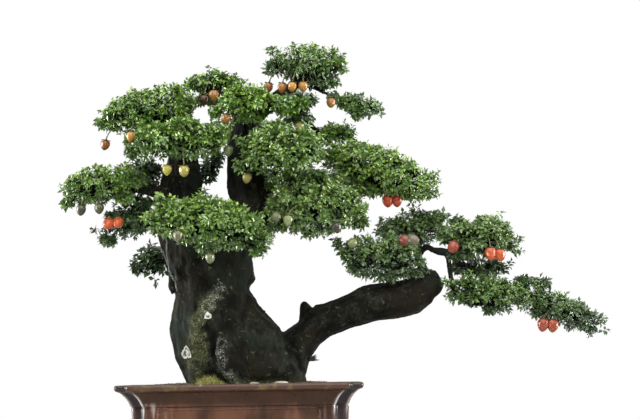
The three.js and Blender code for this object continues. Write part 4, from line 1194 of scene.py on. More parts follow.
@dataclass
class Fruits:
    """All the persimmons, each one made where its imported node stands.

    A packed berry has a flat octagon at its foot, whose radius is a part of the berry's own, and its
    stalk ends in a flat octagon of the end's radius.
    """

    calyx: EarthFinish = EarthFinish("calyx", paint(64, 72, 38), paint(112, 112, 62), 8, 0.6, 0.3)
    foot_part: float = 0.12
    end_radius: float = 1.4
    berries: dict[str, list[Berry]] = field(default_factory=dict)

    def __post_init__(self) -> None:
        """Read every berry's line."""
        self.berries = {name: self.read(name) for name in PERSIMMONS}

    def flats(self, name: str) -> list[tuple[Array, Array, float, Array]]:
        """Find a packed fruit's flat octagons: six triangles or more in one plane, round one middle.

        Two triangles lie in one plane where their directions agree and one's middle is level with the
        other.

        Args:
            name: The fruit's node.

        Returns:
            Each octagon's middle, the way it faces, its radius, and the middle of the ring next to it.
        """
        surface = node_surface(name)
        faces = surface.rounds.reshape(-1, 3)
        first, second, third = surface.points[faces].transpose(1, 0, 2)
        turning = np.cross(second - first, third - first)
        facing = unit(turning)
        middle = (first + second + third) / 3
        level = np.sum((middle[None] - middle[:, None]) * facing[:, None], axis=2)
        in_plane = (facing @ facing.T > 1 - 1e-5) & (np.abs(level) < 0.01)
        found = []
        for flat in np.unique(in_plane[in_plane.sum(axis=1) >= 6], axis=0):
            corners = np.unique(faces[flat])
            place = surface.points[corners].mean(axis=0)
            radii = np.linalg.norm(surface.points[corners] - place, axis=1)
            beside = np.setdiff1d(faces[np.isin(faces, corners).any(axis=1)], corners)
            if np.ptp(radii) < 0.01:
                way = unit(turning[flat].sum(axis=0))
                found.append((place, way, float(radii.mean()), surface.points[beside].mean(axis=0)))
        return sorted(found, key=lambda flat: flat[0][0])

    def read(self, name: str) -> list[Berry]:
        """Read a packed fruit's berries, from left to right, each place to a tenth of a millimetre.

        A berry's axis faces away from its foot. Where the foot is hidden, the axis runs from the
        berry's middle to the ring beside its stalk's end, which is the stalk's root.

        Args:
            name: The fruit's node.

        Returns:
            Its one or two berries.
        """
        flats = self.flats(name)
        is_end = [abs(radius - self.end_radius) < 0.005 for _, _, radius, _ in flats]
        ends = [flat for flat, end in zip(flats, is_end) if end]
        lines = []
        for foot, way, radius, _ in (flat for flat, end in zip(flats, is_end) if not end):
            size = radius / (self.foot_part * Berry.radius)
            lines.append((foot, foot - Berry.root_part * Berry.height * size * way))
        hidden = PERSIMMONS[name].hidden
        if hidden:
            root = ends[0][3]
            above = Berry.root_part - 0.5
            lines.insert(0, (hidden - 0.5 / above * (root - hidden), root))
        return [Berry(*np.round([foot, root, end[0]], 1)) for (foot, root), end in zip(lines, ends)]

    def middles(self) -> Array:
        """Give the middle of every berry."""
        return np.array([berry.middle for group in self.berries.values() for berry in group])

    def build(self) -> None:
        """Make each fruit, with its skin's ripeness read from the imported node's slot."""
        green = self.calyx.material()
        skins = {ripe.slot.value: (ripe, ripe.value.material()) for ripe in Ripeness}
        for name, group in self.berries.items():
            ripe, skin = skins[slot_of(name)]
            shapes = [part for berry in group for part in (berry.body(), berry.crown(), berry.stalk())]
            surface = Surface.joined(shapes)
            surface.parts = np.where(surface.parts % 3 == 0, 0, 1)
            for mark in ("blush", "paleness", "dusk"):
                surface.marks[mark] = np.full(len(surface.points), getattr(PERSIMMONS[name], mark))
            in_first = sum(len(part.points) for part in shapes[:3])
            is_second = np.arange(len(surface.points)) >= in_first
            surface.marks["unripe"] = PERSIMMONS[name].unripe * is_second
            piece(surface, name.replace("fruit", "persimmon"), ripe.slot, [skin, green], (name,))


def slot_of(node: str) -> str:
    """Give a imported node's finish slot, which is the name of its material in the frame."""
    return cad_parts[node].data.materials[0].name.split(".")[0]


# The foliage


@dataclass
class Sprays:
    """The shoots of one leaf cushion: where each begins, its axis, its length in mm and its light."""

    starts: Array
    axes: Array
    stems: Array
    light: Array

    def with_more(self, more: "Sprays") -> "Sprays":
        """Add the shoots of another spray."""
        names = ("starts", "axes", "stems", "light")
        return Sprays(*(np.concatenate([getattr(self, name), getattr(more, name)]) for name in names))

    def only(self, kept: Array) -> "Sprays":
        """Keep the shoots for which kept is true."""
        return Sprays(self.starts[kept], self.axes[kept], self.stems[kept], self.light[kept])


@dataclass(frozen=True)
class Cushion:
    """How one leaf cushion differs from the rest.

    density is its share of shoots, leaf its leaves' length against the usual, light what is added to
    its light, dull how dull its green is, and shift how far its shoots are moved. A patch is an
    ellipsoid: x, y, z and its half sizes. Each loose one is filled with shoots, and each bare one is
    left without.
    """

    loose: tuple[Patch, ...] = ()
    density: float = 1
    leaf: float = 1
    light: float = 0
    dull: float = 0.08
    shift: Place = (0, 0, 0)
    bare: tuple[Patch, ...] = ()


CUSHIONS: dict[str, Cushion] = {
    "leaves_under_left": Cushion(
        ((-230, 20, 600, 46, 24, 12), (-298, 30, 516, 24, 18, 16), (-262, 10, 566, 34, 22, 16)),
        light=0.45,
    ),
    "leaves_low_left_inner": Cushion(((-238, -20, 636, 40, 18, 15),), light=0.6),
    "leaves_arm_under": Cushion(((470, -20, 466, 26, 12, 10),), density=1.2, light=0.45),
    "leaves_mid_left": Cushion(((-230, -85, 700, 20, 20, 18), (-120, -60, 780, 18, 14, 10))),
    "leaves_high_back": Cushion(((-70, 30, 828, 36, 20, 12),)),
    "leaves_high_front": Cushion(
        ((34, -60, 815, 24, 18, 24), (8, -70, 790, 26, 16, 16), (52, -52, 796, 22, 16, 24),
         (46, -60, 790, 20, 14, 18), (84, -86, 806, 30, 16, 12), (140, -92, 798, 26, 14, 11),
         (106, -90, 782, 28, 14, 12), (-14, -80, 806, 22, 16, 14), (-52, -70, 786, 18, 14, 14),
         (64, -60, 800, 16, 12, 12), (98, -100, 797, 32, 8, 7), (22, -84, 768, 36, 14, 9)),
        light=0.14, dull=0.0,
    ),
    "leaves_inner_left": Cushion(((-54, 44, 700, 16, 18, 18),)),
    "leaves_centre": Cushion(((70, -20, 632, 20, 18, 15), (192, -32, 694, 22, 14, 14)), light=0.1, dull=0.22),
    "leaves_centre_low": Cushion(
        ((148, -70, 640, 76, 36, 14), (262, -40, 545, 22, 22, 20), (250, -24, 636, 32, 14, 10)),
        light=0.09, dull=0.3,
    ),
    "leaves_long_right": Cushion(((272, -20, 614, 46, 30, 14),), light=0.23, dull=0.18, shift=(-5, 0, 0)),
    "leaves_arm_back": Cushion(
        ((432, 50, 560, 34, 24, 14), (325, 10, 526, 28, 24, 16)), light=-0.08, dull=0.4
    ),
    "leaves_arm_right": Cushion(
        ((450, 0, 515, 18, 20, 26), (497, -10, 468, 28, 20, 10), (477, 0, 544, 18, 16, 10)),
        light=-0.08, dull=0.34,
    ),
    "leaves_crown": Cushion(
        ((196, 0, 858, 36, 24, 14), (70, 5, 896, 14, 16, 18)), density=0.64, light=-0.1, dull=0.22
    ),
    "leaves_crown_right": Cushion(
        ((212, -4, 824, 16, 14, 12), (262, -4, 786, 16, 12, 14)), density=0.95, dull=0.34, shift=(0, 0, -8)
    ),
    "leaves_crown_under": Cushion(((136, -60, 768, 32, 26, 12),), light=0.45, dull=0.2),
    "leaves_front_low": Cushion(
        ((46, -140, 478, 20, 20, 22), (-166, -130, 522, 26, 20, 9)),
        light=0.03, dull=0.12,
        bare=((-160, -130, 478, 50, 90, 32), (-95, -130, 458, 36, 90, 20)),
    ),
    "leaves_arm_inner": Cushion(
        ((252, -44, 440, 14, 14, 18), (372, -30, 432, 40, 20, 10), (324, -50, 421, 40, 12, 9)),
        light=-0.22, dull=0.42,
    ),
    "leaves_sprig_left": Cushion(((-232, 20, 454, 12, 12, 18),), density=0.6, leaf=1.35, shift=(8, 0, 4)),
    "leaves_tail_far": Cushion(
        ((652, -10, 338, 22, 20, 13), (662, 0, 405, 28, 16, 8)), light=-0.28, dull=0.32, shift=(0, 0, -5)
    ),
    "leaves_tail_near": Cushion(
        ((540, -30, 348, 14, 14, 12), (614, -14, 404, 26, 16, 16), (506, -16, 366, 26, 12, 8)),
        light=-0.18, dull=0.3,
    ),
    "leaves_low_left": Cushion(
        ((-380, -20, 596, 14, 20, 14), (-232, -46, 642, 34, 14, 16), (-252, -44, 604, 26, 12, 20))
    ),
}


@dataclass
class Foliage:
    """Leaf cushions: thousands of folded leaves on short shoots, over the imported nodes' shapes.

    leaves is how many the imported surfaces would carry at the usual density. Loose patches add theirs.
    """

    leaves: int = 57200
    leaves_a_shoot: int = 7
    leaf_length: tuple[float, float] = (10.5, 17)
    leaf_width: float = 0.58
    stem_length: tuple[float, float] = (7, 12)
    outer_depth: tuple[float, float] = (7, 16)
    inner_depth: tuple[float, float] = (22, 44)
    inner_share: float = 0.26
    berry_room: float = 13.5
    berry_reach: float = 80
    berry_side: tuple[float, float, float] = (0, -0.99, -0.14)
    sprays: dict[str, Sprays] = field(default_factory=dict)
    # Painted light and shade: lit is the leaf for cushions in light, shaded the same leaf in darker greens,
    # painted shade for cushions in shade.
    lit: LeafFinish = LeafFinish(
        "leaf", paint(150, 186, 62), paint(98, 140, 54), paint(42, 64, 36), paint(134, 160, 110)
    )
    shaded: LeafFinish = LeafFinish(
        "shaded_leaf", paint(98, 126, 72), paint(68, 92, 56), paint(38, 54, 38), paint(76, 96, 70)
    )

    def names(self) -> list[str]:
        """List the cushions' nodes."""
        return [name for name in sorted(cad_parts) if name.startswith("leaves_")]

    def weights(self, corners: Array) -> Array:
        """Weigh triangles by their area in square millimetres, and by 0.6 of it where they face down.

        Args:
            corners: Triangle by corner by axis.

        Returns:
            One weight a triangle.
        """
        facing = np.cross(corners[:, 1] - corners[:, 0], corners[:, 2] - corners[:, 0])
        area = np.linalg.norm(facing, axis=1) / 2
        return area * np.where(facing[:, 2] < -0.6 * area, 0.6, 1)

    def grow_shoots(self, name: str, cushion: Cushion, share: float, seed: int) -> Sprays:
        """Spread shoots evenly by area over a cushion's packed surface, fewer on its underside.

        Out is the direction ((p - c) / h^2), square to the ellipsoid that fills the node's box.

        Args:
            name: The cushion's node.
            cushion: How it differs from the rest.
            share: Shoots a square millimetre.
            seed: The cushion's own seed.

        Returns:
            Its shoots.
        """
        random = np.random.default_rng(seed)
        shape = node_surface(name)
        corners = shape.points[shape.rounds].reshape(-1, 3, 3)
        weight = self.weights(corners)
        count = int(cushion.density * share * weight.sum())
        picked = random.choice(len(weight), count, p=weight / weight.sum())
        along, beside = random.random((2, count, 1))
        flip = along + beside > 1
        along, beside = np.where(flip, 1 - along, along), np.where(flip, 1 - beside, beside)
        first, second, third = corners[picked].transpose(1, 0, 2)
        places = first + along * (second - first) + beside * (third - first)
        low, high = shape.points.min(axis=0), shape.points.max(axis=0)
        half = (high - low) / 2
        out = unit((places - (low + high) / 2) / half**2)
        inner = random.random((count, 1)) < self.inner_share
        near = random.uniform(*self.outer_depth, (count, 1))
        far = random.uniform(*self.inner_depth, (count, 1))
        depth = np.minimum(np.where(inner, far, near), 0.8 * half.min())
        axes = unit(0.85 * out + 0.42 * UP + 0.38 * random.normal(size=(count, 3)))
        stems = random.uniform(*self.stem_length, count)
        height = (places[:, 2] - low[2]) / (2 * half[2])
        # Painted light and shade: the light mark rises towards a cushion's top and is cut to 0.35 for inner
        # shoots.
        light = np.clip(cushion.light + 0.36 + 0.36 * eased(height, 0.0, 0.7) + 0.04 * out[:, 2], 0, 1)
        light = light * np.where(inner[:, 0], 0.35, 1)
        spray = Sprays(places - depth * out + cushion.shift, axes, stems, light)
        for patch in cushion.loose:
            spray = spray.with_more(self.grow_loose(np.array(patch, float), cushion.light, share, random))
        for patch in np.array(cushion.bare, float).reshape(-1, 6):
            spray = spray.only(np.linalg.norm((spray.starts - patch[:3]) / patch[3:], axis=1) > 1)
        return spray

    def grow_loose(self, patch: Array, light: float, share: float, random: np.random.Generator) -> Sprays:
        """Fill a small ellipsoid at a cushion's edge with shoots that point outwards and a little down.

        Its shoots are about as many as its surface would carry, which for half sizes a, b and c is
        4 pi (((ab)^p + (ac)^p + (bc)^p) / 3)^(1/p) with p = 1.6.

        Args:
            patch: The ellipsoid's middle and its half sizes.
            light: What is added to its light.
            share: Shoots a square millimetre.
            random: The cushion's random numbers.

        Returns:
            Its shoots.
        """
        middle, half = patch[:3], patch[3:]
        pairs = (half * np.roll(half, 1)) ** 1.6
        count = int(1.15 * share * 4 * np.pi * (pairs.sum() / 3) ** (1 / 1.6)) + 2
        way = unit(random.normal(size=(count, 3)))
        places = middle + half * way * random.random((count, 1)) ** 0.45
        axes = unit(way * half.min() / half + 0.5 * random.normal(size=(count, 3)) - [0, 0, 0.25])
        stems = random.uniform(*self.stem_length, count)
        # Painted light: each loose shoot's light mark, with the cushion's own added.
        glow = np.clip(random.uniform(0.2, 0.6, count) + light, 0, 1)
        return Sprays(places - 12 * axes, axes, stems, glow)

    def leaf_frames(self, spray: Sprays, scale: float, random: np.random.Generator) -> dict[str, Array]:
        """Set leaves round each shoot by the golden turn, splayed low down and forward at the tip.

        A leaf leaves the shoot at angle f from its axis, in d = cos f a + sin f (cos t u + sin t v).
        Its upper side is the mean of the shoot's axis and the sky, taken square to d.

        Args:
            spray: The cushion's shoots.
            scale: Its leaves' length against the usual.
            random: The cushion's random numbers.

        Returns:
            Each leaf's base, direction, upper side, length, tone and light.
        """
        each = self.leaves_a_shoot
        count = len(spray.starts) * each
        order = np.tile(np.arange(each), len(spray.starts))
        axis = np.repeat(spray.axes, each, axis=0)
        beside = unit(np.cross(axis, ASKEW))
        across = np.cross(axis, beside)
        begun = np.repeat(random.uniform(0, WHOLE_TURN, len(spray.starts)), each)
        turn = (order * GOLDEN_TURN + begun)[:, None]
        splay = np.radians(np.interp(order, [0, each - 1], [98, 38]) + random.normal(0, 12, count))[:, None]
        way = np.cos(splay) * axis + np.sin(splay) * (np.cos(turn) * beside + np.sin(turn) * across)
        way = unit(way - [0, 0, 0.16])
        rise = np.repeat(spray.stems, each)[:, None] * (order[:, None] + 0.4) / (each - 0.6)
        upper = 0.55 * axis + 0.8 * UP + 0.5 * random.normal(size=(count, 3))
        upper = unit(upper - dot(upper, way) * way)
        length = random.uniform(*self.leaf_length, count) * np.interp(order, [0, each - 1], [1, 0.82])
        return {
            "base": np.repeat(spray.starts, each, axis=0) + rise * axis,
            "way": way,
            "upper": upper,
            "length": length * scale,
            "tone": np.clip(random.normal(0.57, 0.3, count) + 0.1 * (order == each - 1), 0, 1),
            "light": np.repeat(spray.light, each),
        }

    def blades(self, leaf: dict[str, Array], dullness: float) -> Surface:
        """Fold a rhombic blade along its midrib: six points and eight triangles, closed all round.

        A point is base + L (f d + w s + h n): f along the leaf, w across it, h towards its upper side.

        Args:
            leaf: What leaf_frames() gives.
            dullness: How dull the leaves are, from 0 to 1.

        Returns:
            All the leaves as one surface.
        """
        along = np.array([0, 0.46, 1, 0.46, 0.4, 0.4])
        aside = np.array([0, 1, 0, -1, 0, 0]) * self.leaf_width / 2
        lift = np.array([-0.03, 0.07, -0.14, 0.07, 0, -0.03])
        edge = np.array([0.5, 1, 0.7, 1, 0, 0])
        side = np.cross(leaf["way"], leaf["upper"])
        size = leaf["length"][:, None, None]
        shape = (
            along[:, None] * leaf["way"][:, None]
            + aside[:, None] * side[:, None]
            + lift[:, None] * leaf["upper"][:, None]
        )
        points = leaf["base"][:, None] + size * shape
        rim = np.arange(4)
        after = (rim + 1) % 4
        top = np.stack([rim, after, np.full(4, 4)], axis=1)
        base = np.stack([after, rim, np.full(4, 5)], axis=1)
        faces = np.concatenate([top, base])
        count, each = points.shape[:2]
        rounds = (faces[None] + each * np.arange(count)[:, None, None]).reshape(-1, 3)
        marks = {
            "tone": np.repeat(leaf["tone"], each),
            "dullness": np.full(each * count, dullness),
            "light": np.repeat(leaf["light"], each),
            "across": np.tile(edge, count),
            "along": np.tile(along, count),
            "under": np.tile([0.0] * 5 + [1.0], count),
        }
        return Surface.of(points.reshape(-1, 3), rounds, **marks)

    def build(self, berries: Array) -> None:
        """Dress every cushion, with room left round the berries and in front of them.

        Args:
            berries: The middles of the fruits.
        """
        lit, shaded = self.lit.material(), self.shaded.material()
        area = sum(self.area(name) for name in self.names())
        total = self.leaves * 1
        share = total / self.leaves_a_shoot / area
        for seed, name in enumerate(self.names(), start=40):
            random = np.random.default_rng(1000 + seed)
            cushion = CUSHIONS.get(name, Cushion())
            spray = self.grow_shoots(name, cushion, share, seed)
            self.sprays[name] = spray
            leaf = self.leaf_frames(spray, cushion.leaf, random)
            middle = leaf["base"] + 0.5 * leaf["length"][:, None] * leaf["way"]
            away = middle[:, None] - berries[None]
            ahead = np.clip(away @ self.berry_side, 0, self.berry_reach)
            room = np.linalg.norm(away - ahead[..., None] * self.berry_side, axis=2).min(axis=1)
            kept = {key: values[room > self.berry_room] for key, values in leaf.items()}
            # Cushions whose slot is shaded_leaf take the darker copy, painted shade.
            is_shaded = slot_of(name) == Slot.SHADED_LEAF.value
            slot, finish = (Slot.SHADED_LEAF, shaded) if is_shaded else (Slot.LEAF, lit)
            surface = self.blades(kept, cushion.dull)
            piece(surface, name.replace("leaves", "foliage"), slot, [finish], (name,), smooth=False)

    def area(self, name: str) -> float:
        """Give a cushion's packed surface in square millimetres, its underside counted for less."""
        shape = node_surface(name)
        return float(np.sum(self.weights(shape.points[shape.rounds].reshape(-1, 3, 3))))

    def build_twigs(self, bark: bpy.types.Material) -> None:
        """Run fine twigs from each cushion's heart to every fifth shoot, and the other shoots from those.

        A twig is the curve of bent(), from near the heart to the shoot.

        Args:
            bark: The wood's finish.
        """
        parts = []
        for seed, (name, spray) in enumerate(self.sprays.items(), start=90):
            random = np.random.default_rng(seed)
            low, high = (np.array(corner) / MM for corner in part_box(name))
            heart = (low + high) / 2 - [0, 0, 0.18 * (high[2] - low[2])]
            spokes = np.arange(0, len(spray.starts), 5)
            ends = spray.starts[spokes]
            origin = heart + 0.25 * (ends - heart) * [1, 1, 0.3]
            bend = origin + 0.5 * (ends - origin) * [1.2, 1.2, 0.7] + random.normal(0, 3, ends.shape)
            steps = np.linspace(0, 1, 4)[:, None]
            paths = bent(origin[:, None], bend[:, None], ends[:, None], steps)
            radii = np.tile([1.9, 1.5, 1.1, 0.8], (len(spokes), 1))
            parts.append(tubes(paths, radii, 3))
            nodes = paths[:, 2]
            gap = np.linalg.norm(spray.starts[:, None] - nodes[None], axis=2)
            joint = nodes[np.argmin(gap, axis=1)]
            joint[spokes] = ends
            tips = spray.starts + spray.stems[:, None] * spray.axes
            feet = np.where(spray.starts == joint, spray.starts - spray.axes, joint)
            parts.append(spikes(feet, tips, 1.0))
        surface = Surface.joined(parts)
        surface.parts = None
        piece(surface, "fine_twigs", Slot.BARK, [bark])


# The pot and what fills it


@dataclass
class Pot:
    """The glazed pot: notched corners, flared lip, moulded foot, panel beads, feet and drain holes.

    A profile is a row of inset from the rim's edge and height: up the outside, then down the inside.
    """

    half_width: float = 262
    half_depth: float = 181
    notch: float = 28
    notch_taper: float = 0.06
    outside: tuple[tuple[float, float], ...] = (
        (60, 12), (37, 12), (33, 17), (33, 30), (38, 36), (34, 128), (33, 146.6), (34.4, 148), (32, 149.6),
        (26.9, 161), (20.8, 170), (12, 179), (2, 183), (0, 188.5), (1, 193), (3, 195),
    )
    inside: tuple[tuple[float, float], ...] = ((30.5, 195), (44, 170), (46, 140), (52, 26), (80, 26))
    drains: tuple[float, float] = (-108, 108)
    drain_radius: float = 15
    foot_place: tuple[float, float] = (169, 98)
    glaze: GlazeFinish = GlazeFinish()

    def outline(self, inset: Array, height: Array) -> Array:
        """Draw the notched rectangle at each inset, anticlockwise, with every corner rounded.

        Each quarter has the corners (X, Y - n), (X - n, Y - n), (X - n, Y), where n is the notch
        less a part of the inset.

        Args:
            inset: Distance in from the rim's edge, one a ring.
            height: Height of each ring.

        Returns:
            Points: ring by point by axis.
        """
        wide, deep = self.half_width - inset, self.half_depth - inset
        notch = self.notch - self.notch_taper * inset
        quarter = [(wide, deep - notch), (wide - notch, deep - notch), (wide - notch, deep)]
        corners = (
            [(x, y) for x, y in quarter]
            + [(-x, y) for x, y in reversed(quarter)]
            + [(-x, -y) for x, y in quarter]
            + [(x, -y) for x, y in reversed(quarter)]
        )
        line = np.stack([np.stack(corner, axis=-1) for corner in corners], axis=1)
        arcs = filleted(line, 10.0, 7, loop=True)
        part = np.linspace(0, 1, 10)[1:-1, None]
        start, end = arcs[:, :, -1:], np.roll(arcs, -1, axis=1)[:, :, :1]
        runs = start + part * (end - start)
        flat = np.concatenate([arcs, runs], axis=2).reshape(len(inset), -1, 2)
        tall = np.broadcast_to(height[:, None, None], (*flat.shape[:2], 1))
        return np.concatenate([flat, tall], axis=2)

    def profile(self) -> Array:
        """Join the outside and inside profiles, round their corners and cut long runs into short ones."""
        corners = np.array(self.outside + self.inside, float)
        line = filleted(corners, 2.4, 4, loop=False).reshape(-1, 2)
        step = np.linalg.norm(np.diff(line, axis=0), axis=1)
        line = line[np.concatenate([[True], step > 1e-6])]
        length = np.concatenate([[0], np.cumsum(np.linalg.norm(np.diff(line, axis=0), axis=1))])
        stops = np.union1d(length, np.arange(0, length[-1], 9.0))
        return np.stack([np.interp(stops, length, line[:, axis]) for axis in range(2)], axis=1)

    def shell(self) -> Surface:
        """Carry the notched outline up the outside, over the rim and down the inside."""
        line = self.profile()
        rings = self.outline(line[:, 0], line[:, 1])
        wobble = Noise(21).layered(rings.reshape(-1, 3), 90, 2).reshape(rings.shape[:2])
        centre_out = unit(rings * [1, 1, 0])
        outside = (np.arange(len(line)) < np.argmax(line[:, 1]))[:, None] & (line[:, 1] > 14)[:, None]
        rings = rings + (0.5 * wobble * outside)[..., None] * centre_out
        surface = skinned(rings[None])
        points = surface.points
        # Painted shade: the notch mark is 1 on each notch's recessed face, fades from 0.6 to nothing over its
        # two convex corners, and is slightly less on the rim's top.
        turn = np.linspace(0, 0.6, 7)
        group = np.concatenate([turn, np.ones(23), turn[::-1], np.zeros(8)])
        pool = np.tile(group, 4)[None] * (1 - 0.15 * eased(line[:, 1], 186, 192))[:, None]
        column = np.arange(45)
        # Painted highlight: the ridge mark is a narrow band down each notch's two convex corners, from about
        # 120 to 180 mm up.
        one = 0.55 * np.exp(-(((column - 3) / 1.1) ** 2)) + np.exp(-(((column - 33) / 1.1) ** 2))
        other = one[(36 - column) % 45]
        bright = np.concatenate([one, other, one, other])[None]
        rise = (eased(line[:, 1], 120, 146) * (1 - eased(line[:, 1], 172, 180)) * outside[:, 0])[:, None]
        sharp = eased(points[:, 2], 189, 194)
        left = (1 - eased(np.abs(points[:, 0] + 187), 3, 12)) * (points[:, 1] < -120)
        surface.marks = {
            "edge": np.clip(sharp, 0, 1),
            "lime": left * (1 - eased(points[:, 2], 176, 186)),
            "pool": np.concatenate([pool.ravel(), [0, 0]]),
            "ridge": np.concatenate([(bright * rise).ravel(), [0, 0]]),
        }
        return surface

    def bead(self, half: float, side: int, across: bool) -> Surface:
        """Lay a rounded bead on a wall, round a panel from z 44 to 143.

        Args:
            half: Half the panel's width.
            side: 1 or -1 for the two opposite walls.
            across: True for the long front and back walls.

        Returns:
            The bead.
        """
        corners = np.array([[-half, 44], [half, 44], [half, 143], [-half, 143]], float)
        arcs = filleted(corners, 9.0, 6, loop=True)
        part = np.linspace(0, 1, 10)[1:-1, None]
        runs = arcs[:, -1:] + part * (np.roll(arcs, -1, axis=0)[:, :1] - arcs[:, -1:])
        flat = np.concatenate([arcs, runs], axis=1).reshape(-1, 2)
        inset = np.interp(flat[:, 1], [36, 128, 146.6], [38, 34, 33])
        out = side * ((self.half_depth if across else self.half_width) - inset)
        line = np.stack([flat[:, 0], out] if across else [out, flat[:, 0]], axis=1)
        path = np.concatenate([line, flat[:, 1:]], axis=1)
        none = np.zeros((1, len(path)))
        marks = {"edge": none + 0.35, "lime": none, "pool": none, "ridge": none}
        return tubes(path[None], np.full((1, len(path)), 2.4), 10, closed=False, **marks)

    def foot(self, x: float, y: float, wide: float, deep: float) -> Surface:
        """Stand a foot under the base: a rounded rectangle that narrows a little and rounds at the ground.

        Args:
            x: Middle of the foot.
            y: Middle of the foot.
            wide: Its width.
            deep: Its depth.

        Returns:
            The foot.
        """
        level = np.array([0, 0.7, 2.5, 7, 12.5])
        inset = np.array([2.2, 0.6, 0, 0.4, -2.0])
        turn = angles(48)
        cosine, sine = np.cos(turn), np.sin(turn)
        round_x = np.sign(cosine) * np.abs(cosine) ** 0.3
        round_y = np.sign(sine) * np.abs(sine) ** 0.3
        across = (wide / 2 - inset)[:, None] * round_x + x
        deep_way = (deep / 2 - inset)[:, None] * round_y + y
        tall = np.broadcast_to(level[:, None], across.shape)
        rings = np.stack([across, deep_way, tall], axis=2)[None]
        none = np.zeros((1, 5, 48))
        return skinned(rings, edge=none + 0.2, lime=none, pool=none, ridge=none)

    def build(self) -> bpy.types.Object:
        """Join the shell, its beads and its feet, and cut the drain holes through the floor."""
        parts = [self.shell()]
        parts += [self.bead(168, side, True) for side in (1, -1)]
        parts += [self.bead(87, side, False) for side in (1, -1)]
        x, y = self.foot_place
        parts += [self.foot(x * one, y * two, 74, 54) for one in (1, -1) for two in (1, -1)]
        parts.append(self.foot(0, 0, 62, 62))
        surface = Surface.joined(parts)
        surface.parts = None
        pot = piece(surface, "glazed_pot", Slot.GLAZE, [self.glaze.material()], ("pot",))
        self.cut_drains(pot)
        return pot

    def cut_drains(self, pot: bpy.types.Object) -> None:
        """Cut the round drain holes, then keep the result as the pot's mesh."""
        level = np.array([6.0, 32.0])
        turn = angles(40)
        circle = self.drain_radius * np.stack([np.cos(turn), np.sin(turn)], axis=1)
        for place in self.drains:
            flat = np.broadcast_to(circle + [place, 0], (2, 40, 2))
            tall = np.broadcast_to(level[:, None, None], (2, 40, 1))
            plug = skinned(np.concatenate([flat, tall], axis=2)[None])
            tool = bpy.data.objects.new("drain_tool", mesh_of(plug, "drain_tool", False))
            bpy.context.scene.collection.objects.link(tool)
            cut = pot.modifiers.new("drain", "BOOLEAN")
            cut.operation = "DIFFERENCE"
            cut.solver = "EXACT"
            cut.object = tool
            result = bpy.data.meshes.new_from_object(pot.evaluated_get(bpy.context.evaluated_depsgraph_get()))
            pot.modifiers.remove(cut)
            pot.data = result
            bpy.data.objects.remove(tool)


